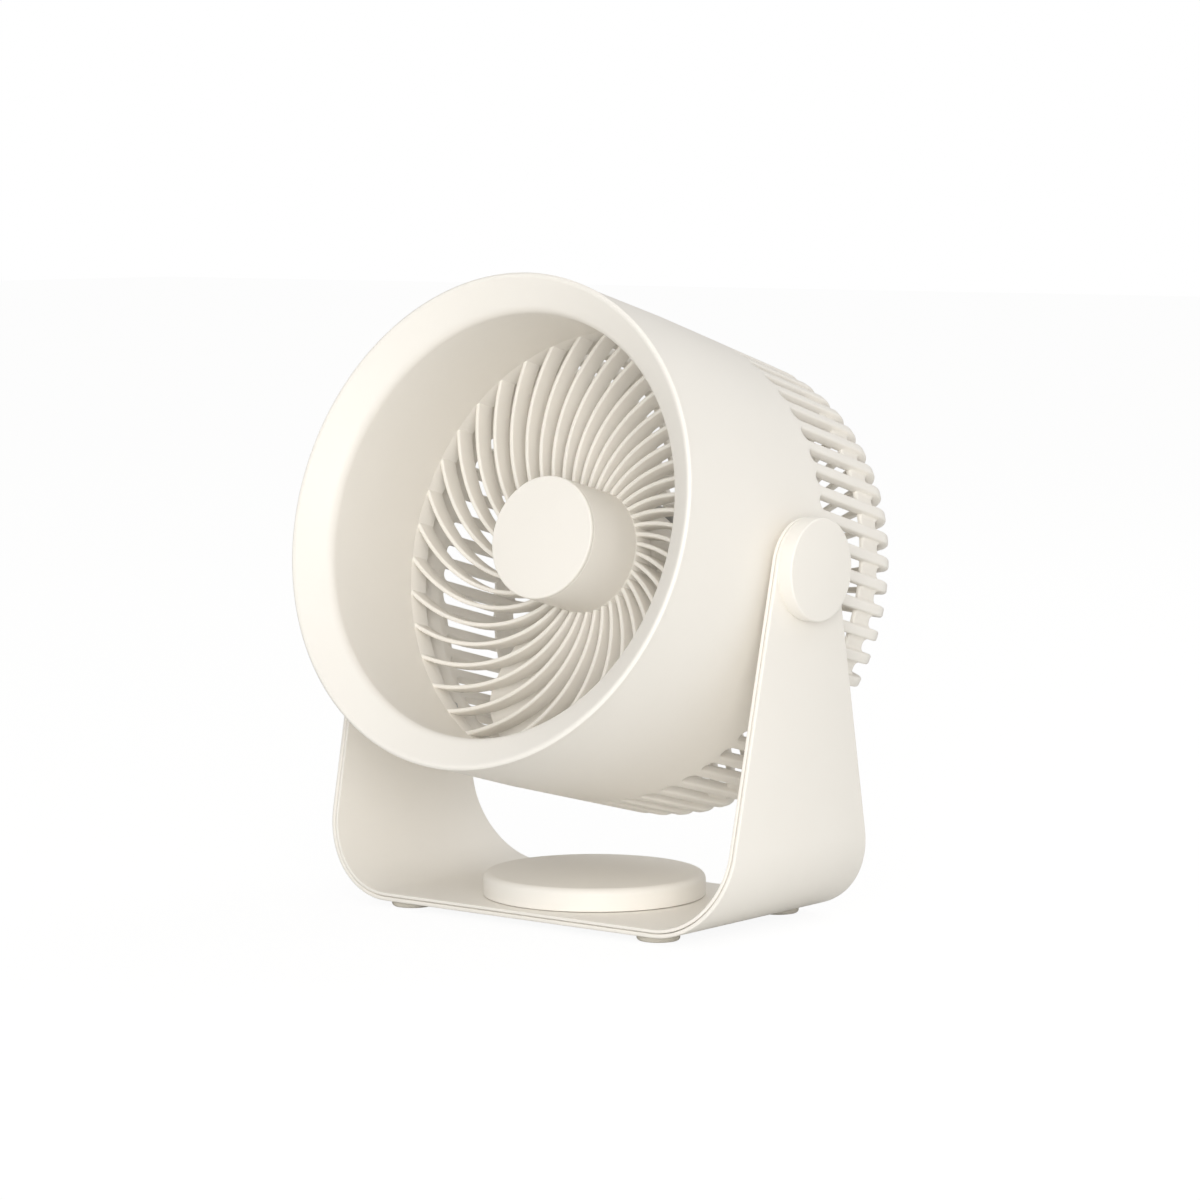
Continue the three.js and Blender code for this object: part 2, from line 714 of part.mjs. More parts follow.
function housingScrews() {
  const headAt = grilleEnd + seatGap + lugDepth + seatGap;
  corners.forEach((angle, i) => {
    const piece = screw(headAt - ductEnd + housingScrewGrip).scale(smallScrew, 1, smallScrew);
    piece.translate(0, headAt, 0);
    addPiece(fromRim, `housing_screw_${i + 1}`, atAngle(piece, towerCircle, angle), steel);
  });
}

// ---- rotor

// A blade as a bent plate: u runs outwards, v from its leading to its trailing edge.
function blade(turn) {
  const geometry = new THREE.BoxGeometry(1, 1, 1, 5, 6, 1);
  const position = geometry.attributes.position;
  for (let i = 0; i < position.count; i += 1) {
    const u = position.getX(i) + 0.5;
    const v = position.getY(i);
    const radius = wheelHubRadius - reachPast + u * (wheelRadius - wheelHubRadius + reachPast);
    const narrowing = bladeRootShare * (1 - u) + bladeTipShare * Math.max(0, u - bladeTipFrom);
    const angle = radians(turn + v * bladeSweep * (1 - narrowing) + bladeSkew * u * u);
    const rise = bladeRise + (bladeTipRise - bladeRise) * u;
    const camber = bladeCamber * (1 - 4 * v * v) * u;
    const middle = wheelHubFront + wheelHubDepth / 2 + v * rise - camber;
    const y = middle + position.getZ(i) * bladeThickness;
    position.setXYZ(i, radius * Math.cos(angle), y, radius * Math.sin(angle));
  }
  return geometry;
}

function rotor() {
  const wheelBack = wheelHubFront + wheelHubDepth;
  const bore = shaftRadius + shaftGap;
  const boss = bore + wheelBossWall;
  const inside = wheelHubRadius - wheelHubWall;
  const ceiling = wheelHubFront + wheelHubEdge;
  const hubCup = turned([
    [bore, wheelHubFront], [wheelHubRadius - wheelHubEdge, wheelHubFront], [wheelHubRadius, ceiling],
    [wheelHubRadius, wheelBack], [inside, wheelBack], [inside, ceiling], [boss, ceiling],
    [boss, wheelBack - wheelBossShort], [bore, wheelBack - wheelBossShort],
  ], hidden);
  let wheel = toSolid(hubCup);
  for (let i = 0; i < bladeCount; i += 1) {
    wheel = wheel.add(toSolid(blade(bladeTurnAtRest + (i * 360) / bladeCount)));
  }
  addPiece(fromRim, 'impeller', toGeometry(wheel), cream);
  const shaftEnd = 2 * motorMiddle() - motorFront - motorWall / 2;
  addPiece(fromRim, 'motor_shaft', rod(shaftRadius, shaftFront, shaftEnd, coarse), steel);
  const nutBack = wheelHubFront - seatGap;
  const nut = outlineShape(arc(0, 0, nutRadius, 0, 300, 5)); // hexagon, with a bore of 12 sides
  nut.holes.push(new THREE.Path(outlineShape(arc(0, 0, bore, 0, 330, 11)).getPoints()));
  addPiece(fromRim, 'blade_nut', slabY(nut, nutBack - nutHeight, nutBack), brassLook);
  const coreFrom = motorMiddle() - coreLength / 2;
  const core = rod(rotorRadius, coreFrom, coreFrom + coreLength, hidden, bore);
  addPiece(fromRim, 'rotor_core', core, darkSteel);
}

// ---- motor

function motorMiddle() {
  return motorFront + motorHalfLength + seatGap / 2;
}

// Front half of the casing: a cup with a pocket for the bearing.
function motorShell() {
  const inside = motorFront + motorWall + seatGap;
  const pocket = bearingRadius + seatGap;
  const bore = shaftRadius + 2 * shaftGap;
  return turned([
    [bore, motorFront], [motorRadius, motorFront], [motorRadius, motorFront + motorHalfLength],
    [motorRadius - motorWall, motorFront + motorHalfLength], [motorRadius - motorWall, inside],
    [pocket + motorWall, inside], [pocket + motorWall, inside + bearingWidth],
    [pocket, inside + bearingWidth], [pocket, motorFront + motorWall], [bore, motorFront + motorWall],
  ], hidden);
}

// The same shape at the other end of the motor.
function mirroredMotor(geometry) {
  return geometry.clone().rotateX(Math.PI).translate(0, 2 * motorMiddle(), 0);
}

function motor() {
  const shell = motorShell();
  const shellHole = rod(screwBore, plateDepth - 2 * motorScrewGrip, plateDepth, coarse);
  const rearHoles = motorScrewAngles().map((angle) => atAngle(shellHole, motorScrewCircle, angle));
  addPiece(fromRim, 'motor_front_shell', shell, darkSteel);
  const rear = cut(toSolid(mirroredMotor(shell)), rearHoles);
  addPiece(fromRim, 'motor_rear_shell', toGeometry(rear), darkSteel);
  const bearingFrom = motorFront + motorWall + seatGap;
  const bearingEnd = bearingFrom + bearingWidth;
  const bearing = rod(bearingRadius, bearingFrom, bearingEnd, hidden, shaftRadius + shaftGap);
  addPiece(fromRim, 'bearing_front', bearing, steel);
  addPiece(fromRim, 'bearing_rear', mirroredMotor(bearing), steel);
  const coreFrom = motorMiddle() - coreLength / 2;
  const core = rod(coreRadius, coreFrom, coreFrom + coreLength, hidden, coreBore);
  addPiece(fromRim, 'stator_core', core, darkSteel);
  const windingBack = coreFrom - seatGap;
  const windingBore = coreBore + windingInset;
  const windingFront = windingBack - windingLength;
  const winding = rod(coreRadius - windingStep, windingFront, windingBack, hidden, windingBore);
  addPiece(fromRim, 'winding_front', winding, copper);
  addPiece(fromRim, 'winding_rear', mirroredMotor(winding), copper);
  const headAt = plateDepth + plateWall + seatGap;
  motorScrewAngles().forEach((angle, i) => {
    const piece = screw(headAt - plateDepth + motorScrewGrip).translate(0, headAt, 0);
    addPiece(fromRim, `motor_screw_${i + 1}`, atAngle(piece, motorScrewCircle, angle), steel);
  });
}

// ---- controls on the back

function controls() {
  const coverFrom = drumDepth - coverThickness;
  const coverBack = drumDepth;
  const disc = rod(cupRadius - cupWall - seatGap, coverFrom, coverBack, medium);
  const atBottom = (geometry) => atAngle(geometry, inletBelow, -90);
  const through = (radius, facets) => rod(
    radius, coverFrom - reachPast, coverBack + reachPast, facets);
  const openings = [
    through(spindleRadius + 2 * shaftGap, bored), atBottom(through(inletRadius + shaftGap, bored)),
    ...[0, 180].map((angle) => atAngle(through(screwBore, coarse), coverScrewCircle, angle)),
  ];
  addPiece(fromRim, 'control_cover', toGeometry(cut(toSolid(disc), openings)), cream);
  [0, 180].forEach((angle, i) => {
    const piece = screw(coverThickness + coverScrewGrip).translate(0, coverBack + seatGap, 0);
    addPiece(fromRim, `cover_screw_${i + 1}`, atAngle(piece, coverScrewCircle, angle), steel);
  });
  const knobFrom = coverBack + knobLift;
  const knobTop = knobFrom + knobHeight - knobGripHeight;
  const spindleFrom = coverFrom - spindleLength / 2;
  const spindleTo = spindleFrom + spindleLength;
  const switchBack = coverFrom - seatGap;
  const switchBox = new THREE.BoxGeometry(switchSide, switchDepth, switchSide);
  switchBox.translate(0, switchBack - switchDepth / 2, 0);
  const switchBore = rod(spindleRadius + shaftGap, spindleFrom - seatGap, coverBack, coarse);
  addPiece(fromRim, 'speed_switch', toGeometry(cut(toSolid(switchBox), [switchBore])), blackPlastic);
  addPiece(fromRim, 'knob_spindle', rod(spindleRadius, spindleFrom, spindleTo, coarse), steel);
  const knobBody = turned([
    [0, knobFrom], [knobRadius, knobFrom], [knobRadius - knobEdge, knobTop], [0, knobTop],
  ], medium);
  const gripHeight = knobHeight - knobEdge;
  const grip = new THREE.BoxGeometry(knobGripWidth, gripHeight, 2 * knobRadius - 3 * knobEdge);
  grip.translate(0, knobFrom + knobEdge + gripHeight / 2, 0);
  const knobBore = rod(spindleRadius + shaftGap, knobFrom - reachPast, spindleTo + seatGap, coarse);
  addPiece(fromRim, 'speed_knob', toGeometry(cut(join(knobBody, grip), [knobBore])), cream);
  const inletBack = coverBack + inletProud;
  const pocketFloor = inletBack - inletPocket;
  addPiece(fromRim, 'power_inlet', atBottom(turned([
    [0, inletBack - inletLength], [inletRadius, inletBack - inletLength], [inletRadius, inletBack],
    [inletBore, inletBack], [inletBore, pocketFloor], [inletPin, pocketFloor],
    [inletPin, inletBack - inletPinShort], [0, inletBack - inletPinShort],
  ], bored)), blackPlastic);
}

// ---- tilt pivots: a bolt through each arm, screwed into a brass insert in the drum

function pivots() {
  const bore = boltRadius + shaftGap;
  const springFrom = pivotBossX + seatGap;
  const headFrom = springFrom + springWasherHeight + seatGap;
  const washerFrom = headBossX + seatGap;
  const bolt = turned([
    [0, boltEndX], [boltRadius, boltEndX], [boltRadius, headFrom], [boltHeadRadius, headFrom],
    [boltHeadRadius, headFrom + boltHeadHeight], [0, headFrom + boltHeadHeight],
  ], coarse);
  const ring = (radius, from, height) => rod(radius, from, from + height, hidden, bore);
  const pieces = [
    ['pivot_bolt', bolt, steel],
    ['spring_washer', ring(boltHeadRadius, springFrom, springWasherHeight), steel],
    ['friction_washer', ring(frictionWasherRadius, washerFrom, frictionWasherHeight), rubber],
    ['pivot_insert', ring(insertRadius, headBossX - seatGap - insertLength, insertLength), brassLook],
  ];
  pieces.forEach(([name, geometry, look]) => {
    bothArms(alongX(geometry)).forEach((shape, i) => {
      addPiece(head, `${name}_${['right', 'left'][i]}`, shape, look);
    });
  });
}

standShells();
feet();
baseDisc();
pivotCaps();
frontRing();
rearHousing();
frontGrille();
hub();
housingScrews();
rotor();
motor();
controls();
pivots();

// The origin is on the floor, midway between the foremost and the rearmost point.
fan.updateMatrixWorld(true);
const reach = new THREE.Box3().setFromObject(fan, true);
fan.position.y = -(reach.min.y + reach.max.y) / 2;

export default fan;
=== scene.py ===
import json
import math
import bmesh
import bpy
from mathutils import Matrix, Vector


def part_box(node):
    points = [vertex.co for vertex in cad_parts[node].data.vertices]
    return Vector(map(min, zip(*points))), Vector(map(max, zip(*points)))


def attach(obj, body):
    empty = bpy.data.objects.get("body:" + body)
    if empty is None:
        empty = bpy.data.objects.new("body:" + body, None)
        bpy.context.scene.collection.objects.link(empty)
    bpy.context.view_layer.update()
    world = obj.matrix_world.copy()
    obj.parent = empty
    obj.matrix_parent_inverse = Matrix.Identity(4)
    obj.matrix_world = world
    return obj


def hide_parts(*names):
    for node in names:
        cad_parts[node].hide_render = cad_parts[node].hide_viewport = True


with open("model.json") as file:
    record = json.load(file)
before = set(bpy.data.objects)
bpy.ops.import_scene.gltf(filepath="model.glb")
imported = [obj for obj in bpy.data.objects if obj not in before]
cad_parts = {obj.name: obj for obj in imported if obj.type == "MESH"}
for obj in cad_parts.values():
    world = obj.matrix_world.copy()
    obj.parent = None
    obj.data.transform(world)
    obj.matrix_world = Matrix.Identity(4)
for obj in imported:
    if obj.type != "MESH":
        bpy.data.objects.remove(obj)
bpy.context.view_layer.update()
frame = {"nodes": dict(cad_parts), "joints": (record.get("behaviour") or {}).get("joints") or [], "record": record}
joints = {joint["name"]: joint for joint in frame["joints"]}
pivot = Vector(joints["head_tilt"]["pos_m"]) * 1000  # every size below is in mm
print("frame loaded,", len(frame["nodes"]), "nodes")

headPose = {"tilt": 15, "rimAhead": 80.3}  # degrees at rest, and mm from the pivot to the rim
quarter = math.pi / 2
corners = (45, 135, 225, 315)  # degrees, for what sits at four corners
onStand = Matrix.Translation((0, pivot.y, 0))
onHead = (Matrix.Translation(pivot) @ Matrix.Rotation(-math.radians(headPose["tilt"]), 4, "X")
          @ Matrix.Translation((0, -headPose["rimAhead"], 0)))
upright = onStand @ Matrix.Rotation(quarter, 4, "X")  # turned shapes stand up
outRight = Matrix.Translation(pivot) @ Matrix.Rotation(-quarter, 4, "Z")  # and lie along the pivots
outLeft = Matrix.Translation(pivot) @ Matrix.Rotation(quarter, 4, "Z")


class Wire:  # a node's output that can take part in a sum
    def __init__(self, finish, socket):
        self.finish = finish
        self.socket = socket

    def combined(self, operation, first, second):
        return self.finish.node("ShaderNodeMath", {"operation": operation}, {0: first, 1: second})

    def __add__(self, other):
        return self.combined("ADD", self, other)

    def __radd__(self, other):
        return self.combined("ADD", other, self)

    def __sub__(self, other):
        return self.combined("SUBTRACT", self, other)

    def __rsub__(self, other):
        return self.combined("SUBTRACT", other, self)

    def __mul__(self, other):
        return self.combined("MULTIPLY", self, other)

    def __rmul__(self, other):
        return self.combined("MULTIPLY", other, self)


class Finish:  # one material and its nodes
    def __init__(self, name):
        self.material = bpy.data.materials.new(name)
        self.material.use_nodes = True
        self.tree = self.material.node_tree
        self.tree.nodes.clear()
        self.places = self.node("ShaderNodeTexCoord", output="Object")

    def node(self, kind, settings=None, sockets=None, output=0):
        made = self.tree.nodes.new(kind)
        for key, value in (settings or {}).items():
            if key == "stops":
                elements = made.color_ramp.elements
                for element, (position, shade) in zip(elements, value):
                    element.position = position
                    element.color = (shade, shade, shade, 1)
            else:
                setattr(made, key, value)
        for key, value in (sockets or {}).items():
            if isinstance(value, Wire):
                self.tree.links.new(value.socket, made.inputs[key])
            else:
                made.inputs[key].default_value = value
        return Wire(self, made.outputs[output])

    def noise(self, scale, detail=2.0, roughness=0.5):
        sockets = {"Vector": self.places, "Scale": scale, "Detail": detail, "Roughness": roughness}
        return self.node("ShaderNodeTexNoise", {}, sockets, "Fac")

    def ramp(self, value, *stops):
        return self.node("ShaderNodeValToRGB", {"stops": stops}, {"Fac": value})

    def colour(self, mask, first, second):
        settings = {"data_type": "RGBA", "blend_type": "MIX"}
        return self.node("ShaderNodeMix", settings, {0: mask, 6: first, 7: second}, 2)

    def surface(self, colour, roughness, bumpHeight, bumpDistance, bumpStrength, **constants):
        sockets = {"Base Color": colour, "Roughness": roughness}
        for key, value in constants.items():
            sockets[key.replace("_", " ")] = value
        bump = {"Strength": bumpStrength, "Distance": bumpDistance, "Height": bumpHeight}
        sockets["Normal"] = self.node("ShaderNodeBump", {}, bump)
        return self.closeWith(self.node("ShaderNodeBsdfPrincipled", {}, sockets, "BSDF"))

    def closeWith(self, shader):
        made = self.tree.nodes.new("ShaderNodeOutputMaterial")
        self.tree.links.new(shader.socket, made.inputs["Surface"])
        return self.material


plastic = {
    "light": (0.925, 0.889, 0.826, 1), "deep": (0.918, 0.881, 0.816, 1),
    "speck": (0.81, 0.765, 0.68, 1), "roughness": 0.42, "grain": 1500, "mottle": 11,
}


# Moulded cream plastic: a fine spark-eroded grain, faint flow marks and a slightly uneven gloss
def creamPlastic(name, size, gloss=0.0):
    finish = Finish(name)
    mottle = finish.noise(size["mottle"], 3.0)
    flow = finish.noise(size["mottle"] * 5, 2.0)
    grain = finish.noise(size["grain"], 2.0, 0.6)
    tone = finish.ramp(mottle * 0.6 + flow * 0.4, (0.38, 0.0), (0.64, 1.0))
    dust = finish.ramp(finish.noise(size["grain"] * 0.35, 4.0, 0.7), (0.66, 0.0), (0.80, 1.0))
    colour = finish.colour(tone, size["deep"], size["light"])
    colour = finish.colour(dust * 0.22, colour, size["speck"])
    rough = size["roughness"] - gloss + flow * 0.10 + grain * 0.06
    return finish.surface(colour, rough, grain + mottle * 0.25, 0.00006, 0.3, Specular_IOR_Level=0.42)


metals = {
    "zinc": {"base": (0.62, 0.63, 0.65, 1), "dark": (0.42, 0.43, 0.45, 1), "roughness": 0.30},
    "dark": {
        "base": (0.46, 0.46, 0.45, 1), "dark": (0.34, 0.34, 0.335, 1), "roughness": 0.46, "metallic": 0.5,
    },
    "brass": {"base": (0.72, 0.53, 0.24, 1), "dark": (0.45, 0.31, 0.12, 1), "roughness": 0.30},
    "copper": {"base": (0.66, 0.30, 0.13, 1), "dark": (0.34, 0.13, 0.05, 1), "roughness": 0.33},
}


# Turned or plated metal: fine marks with dull patches
def metal(name, size, marks=900):
    finish = Finish(name)
    patch = finish.noise(60, 3.0)
    fine = finish.noise(marks, 2.0, 0.6)
    colour = finish.colour(finish.ramp(patch, (0.40, 0.0), (0.68, 1.0)) * 0.7, size["base"], size["dark"])
    rough = size["roughness"] + patch * 0.18 + fine * 0.08
    return finish.surface(colour, rough, fine, 0.00005, 0.4, Metallic=size.get("metallic", 1.0))


# Soft rubber or dark moulded plastic: matt, with a coarse bloom
def matt(name, base, bloom, roughness, grain=1100):
    finish = Finish(name)
    patch = finish.noise(90, 4.0, 0.6)
    fine = finish.noise(grain, 2.0, 0.6)
    colour = finish.colour(finish.ramp(patch, (0.42, 0.0), (0.70, 1.0)), base, bloom)
    return finish.surface(colour, roughness + fine * 0.1, fine + patch, 0.00008, 0.5)


finishes = {
    "cream": creamPlastic("creamPlastic", plastic),
    "zinc": metal("zincPlate", metals["zinc"]),
    "darkSteel": metal("darkSteel", metals["dark"], 500),
    "brass": metal("turnedBrass", metals["brass"]),
    "copper": metal("copperWire", metals["copper"], 1400),
    "rubber": matt("footRubber", (0.66, 0.62, 0.54, 1), (0.73, 0.69, 0.60, 1), 0.78),
    "black": matt("blackPlastic", (0.030, 0.030, 0.032, 1), (0.055, 0.054, 0.052, 1), 0.52),
}
bySlot = {
    "cream_plastic": "cream", "steel": "zinc", "dark_steel": "darkSteel", "brass": "brass",
    "copper": "copper", "rubber": "rubber", "black_plastic": "black",
}
slotOf = {entry["node"]: entry["material_slot"] for entry in frame["record"]["subparts"]}
for nodeName, node in frame["nodes"].items():
    node.data.materials.clear()
    node.data.materials.append(finishes[bySlot[slotOf[nodeName]]])
print("finishes made")


# Rounds the corners of an outline of (across, along, radius), none over more than half a side
def filleted(outline, steps=5, closed=True):
    points = []
    count = len(outline)
    mostOfSide = 0.48
    for i, (x, y, radius) in enumerate(outline):
        here = Vector((x, y))
        if not radius or (not closed and i in (0, count - 1)):
            points.append((x, y))
            continue
        behind = Vector(outline[i - 1][:2]) - here
        ahead = Vector(outline[(i + 1) % count][:2]) - here
        half = behind.angle(ahead) / 2
        reach = min(radius / math.tan(half), behind.length * mostOfSide, ahead.length * mostOfSide)
        start = behind.normalized() * reach
        end = ahead.normalized() * reach
        middle = (start + end).normalized() * (reach / math.cos(half))
        turn = (start - middle).angle_signed(end - middle)
        for k in range(steps + 1):
            spoke = (start - middle).copy()
            spoke.rotate(Matrix.Rotation(-turn * k / steps, 2))
            points.append(tuple(here + middle + spoke))
    return points


# Joins rows of points with quads. A shape is a list of points and a list of faces
def sheet(rows, closedRows=False, closedAcross=False):
    count = len(rows[0])
    points = [point for row in rows for point in row]
    faces = []
    for i in range(len(rows) if closedRows else len(rows) - 1):
        here, following = i * count, (i + 1) % len(rows) * count
        for j in range(count if closedAcross else count - 1):
            beside = (j + 1) % count
            faces.append((here + j, here + beside, following + beside, following + j))
    return points, faces


# A stack of closed outlines with a face over each end
def stacked(rows):
    points, faces = sheet(rows, False, True)
    count = len(rows[0])
    faces.append(tuple(range(count)))
    faces.append(tuple(range(len(points) - count, len(points))))
    return points, faces


# Turns an outline of (radius, y) about the Y axis
def turned(outline, segments=128, closed=True):
    rows = []
    for i in range(segments):
        angle = 2 * math.pi * i / segments
        rows.append([(r * math.cos(angle), y, r * math.sin(angle)) for r, y in outline])
    return sheet(rows, True, closed)


def moved(shape, matrix):
    return [tuple(matrix @ Vector(point)) for point in shape[0]], shape[1]


def together(*shapes):
    points, faces = [], []
    for shapePoints, shapeFaces in shapes:
        start = len(points)
        points.extend(shapePoints)
        faces.extend(tuple(start + k for k in face) for face in shapeFaces)
    return points, faces


# Copies round the Y axis: degrees are counted from +X to +Z
def around(shape, degrees, radius=0):
    place = Matrix.Rotation(-math.radians(degrees), 4, "Y") @ Matrix.Translation((radius, 0, 0))
    return moved(shape, place)


# A rounded edge in section: how far inside the side, and how far under the surface
def roundedEdge(size, steps):
    turns = [quarter * k / steps for k in range(steps + 1)]
    return [(size * (1 - math.sin(turn)), size * (1 - math.cos(turn))) for turn in turns]


# Where a value lies between two others, from 0 to 1
def shareOf(value, start, end):
    return min(1, max(0, (value - start) / (end - start)))


def makePiece(name, shape, place, body, finish, replaced=(), sharp=34):
    mesh = bpy.data.meshes.new(name)
    points, faces = moved(shape, Matrix.Scale(0.001, 4) @ place)
    mesh.from_pydata(points, [], faces)
    tidy = bmesh.new()
    tidy.from_mesh(mesh)
    bmesh.ops.remove_doubles(tidy, verts=tidy.verts, dist=2e-6)
    bmesh.ops.dissolve_degenerate(tidy, edges=tidy.edges, dist=1e-7)
    bmesh.ops.recalc_face_normals(tidy, faces=tidy.faces)
    tidy.to_mesh(mesh)
    tidy.free()
    mesh.polygons.foreach_set("use_smooth", [True] * len(mesh.polygons))
    mesh.set_sharp_from_angle(angle=math.radians(sharp))
    piece = bpy.data.objects.new(name, mesh)
    bpy.context.scene.collection.objects.link(piece)
    mesh.materials.append(finishes[finish])
    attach(piece, body)
    if replaced:
        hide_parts(*replaced)
    return piece


# Stand: two nested shells bent to a U, wide at the floor and round at the pivots
stand = {
    "floor": 3.0, "bend": 38.9, "armFootX": 114.7, "armPivotX": 117.2, "halfDepth": 56.7,
    "topRadius": 22, "outerWall": 1.9, "seam": 0.3, "innerWall": 1.5, "outerRounding": 0.75,
    "innerRounding": 0.45,
}
splay = math.atan2(stand["armPivotX"] - stand["armFootX"], pivot.z - stand["floor"] - stand["bend"])
bendLevel = stand["floor"] + stand["bend"]
bendX = (stand["armFootX"] * math.cos(splay) - stand["bend"]) / math.cos(splay)
bendLength = stand["bend"] * (quarter - splay)
armFoot = bendX + bendLength  # where the straight arm starts, along the band


# A point of the band: how far along from the middle of the floor, and how deep under its outside
def bandPoint(along, y, depth):
    side = math.copysign(1, along)
    s = abs(along)
    radius = stand["bend"] - depth
    if s <= bendX:
        return side * s, y, stand["floor"] + depth
    angle = min((s - bendX) / stand["bend"], quarter - splay) - quarter
    rest = max(0, s - armFoot)
    x = bendX + radius * math.cos(angle) + rest * math.sin(splay)
    z = bendLevel + radius * math.sin(angle) + rest * math.cos(splay)
    return side * x, y, z


# Half of the band's edge as (along, y, inward along, inward y)
def bandEdge():
    top, height = stand["topRadius"], pivot.z - stand["floor"]
    reach = math.hypot(stand["halfDepth"], height)
    touch = math.atan2(-height, stand["halfDepth"]) + math.acos(top / reach)
    touchZ, touchY = pivot.z + top * math.sin(touch), top * math.cos(touch)
    narrowing = (stand["halfDepth"] - touchY) / (touchZ - stand["floor"])
    armFootZ = bandPoint(armFoot, 0, 0)[2]
    alongAt = lambda z: armFoot + (z - armFootZ) / math.cos(splay)
    floorSteps, bendSteps, armSteps, topSteps, near = 6, 30, 12, 24, 0.1
    stations = [bendX * i / floorSteps for i in range(floorSteps)]
    stations += [bendX + bendLength * i / bendSteps for i in range(bendSteps)]
    stations += [armFoot + (alongAt(touchZ) - armFoot) * i / armSteps for i in range(armSteps)]
    edge = []
    for s in stations:
        z = bandPoint(s, 0, 0)[2]
        climb = bandPoint(s + near, 0, 0)[2] - bandPoint(max(0, s - near), 0, 0)[2]
        slope = -narrowing * climb / (2 * near)
        size = math.hypot(1, slope)
        edge.append((s, stand["halfDepth"] - (z - stand["floor"]) * narrowing, slope / size, -1 / size))
    for i in range(topSteps + 1):
        angle = touch + (quarter - touch) * i / topSteps
        s = alongAt(pivot.z + top * math.sin(angle))
        edge.append((s, top * math.cos(angle), -math.sin(angle), -math.cos(angle)))
    return edge


# One shell of the band. The quads that close its outer and inner faces run from front to rear edge
def bandShell(depth, wall, rounding):
    half = bandEdge()
    front = [(-s, y, -inS, inY) for s, y, inS, inY in half[:0:-1]] + half
    section = roundedEdge(rounding, 4)
    section += [(inset, wall - under) for inset, under in reversed(section)]
    loops = []
    for inset, under in section:
        ahead = [bandPoint(s + inS * inset, y + inY * inset, depth + under) for s, y, inS, inY in front]
        behind = [(x, -y, z) for x, y, z in ahead]
        loops.append(ahead + behind[-2:0:-1])
    count, width = len(loops[0]), len(front)
    points, faces = sheet(loops, False, True)
    for loop in (0, len(loops) - 1):
        start = loop * count
        for i in range(width - 1):
            other = start + (count - i) % count
            following = start + (count - i - 1) % count
            faces.append((start + i, start + i + 1, following, other))
    return points, faces


caps = {
    "bossRadius": 21.9, "bossBore": 4, "bossFrom": 116.2, "bossX": 117.8, "radius": 22.5, "from": 118.1,
    "x": 124.7, "wall": 2, "rounding": 0.9,
}
armBoss = turned(filleted([
    (caps["bossBore"], caps["bossFrom"], 0), (caps["bossRadius"], caps["bossFrom"], 0),
    (caps["bossRadius"], caps["bossX"], 0.25), (caps["bossBore"], caps["bossX"], 0),
]), 96)
outerBand = bandShell(0, stand["outerWall"], stand["outerRounding"])
innerDepth = stand["outerWall"] + stand["seam"]
innerBand = bandShell(innerDepth, stand["innerWall"], stand["innerRounding"])
bossShapes = [moved(armBoss, onStand.inverted() @ out) for out in (outRight, outLeft)]
makePiece("standOuter", together(outerBand, *bossShapes), onStand, "stand", "cream",
          ["stand_outer_shell"])
makePiece("standInner", innerBand, onStand, "stand", "cream", ["stand_inner_shell"])
capInside, capFloor = caps["radius"] - caps["wall"], caps["x"] - caps["wall"]
capShape = turned(filleted([
    (0, capFloor, 0), (capInside, capFloor, 0.5), (capInside, caps["from"], 0),
    (caps["radius"], caps["from"], 0.2), (caps["radius"], caps["x"], caps["rounding"]), (0, caps["x"], 0),
], closed=False), 128, False)
for side, out in (("right", outRight), ("left", outLeft)):
    makePiece("pivotCap_" + side, capShape, out, "stand", "cream", ["pivot_cap_" + side])
print("stand made")


# Base: round cover over the weight, rubber feet and the screws under the floor
base = {
    "radius": 50.2, "bottom": 7.0, "top": 17.2, "wall": 2, "rounding": 3.4, "foot": 0.5, "screwCircle": 42,
    "screwSink": 0.3,
}
baseInside, baseCeiling = base["radius"] - base["wall"], base["top"] - base["wall"]
baseShape = turned(filleted([
    (0, baseCeiling, 0), (baseInside, baseCeiling, 1), (baseInside, base["bottom"], 0),
    (base["radius"], base["bottom"], base["foot"]), (base["radius"], base["top"], base["rounding"]),
    (0, base["top"], 0),
], 8, False), 192, False)
makePiece("baseCover", baseShape, upright, "stand", "cream", ["base_disc"])

feet = {"radius": 9.5, "height": 2.7, "rounding": 2.2, "dish": 6.2, "dishDepth": 0.5, "dishSlope": 0.5}
footShape = turned(filleted([
    (0, feet["dishDepth"], 0), (feet["dish"], feet["dishDepth"], 0.4),
    (feet["dish"] + feet["dishSlope"], 0, 0.3), (feet["radius"], 0, feet["rounding"]),
    (feet["radius"], feet["height"], 0.1), (0, feet["height"], 0),
], 4, False), 64, False)
for i in range(1, 5):
    low, high = (corner * 1000 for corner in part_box(f"foot_{i}"))
    spot = (Matrix.Translation(((low.x + high.x) / 2, (low.y + high.y) / 2, 0))
            @ Matrix.Rotation(quarter, 4, "X"))
    makePiece(f"foot{i}", footShape, spot, "stand", "rubber", [f"foot_{i}"])

screws = {
    "baseLength": 9.7, "coverLength": 8.5, "shank": 1.6, "head": 3.0, "height": 1.7, "seat": 0.02,
    "side": 0.5, "dome": 2.6, "cross": 0.34, "crossReach": 1.75, "crossDepth": 1.0, "sideFade": 0.14,
    "endFade": 0.5, "segments": 96, "rings": 22,
}


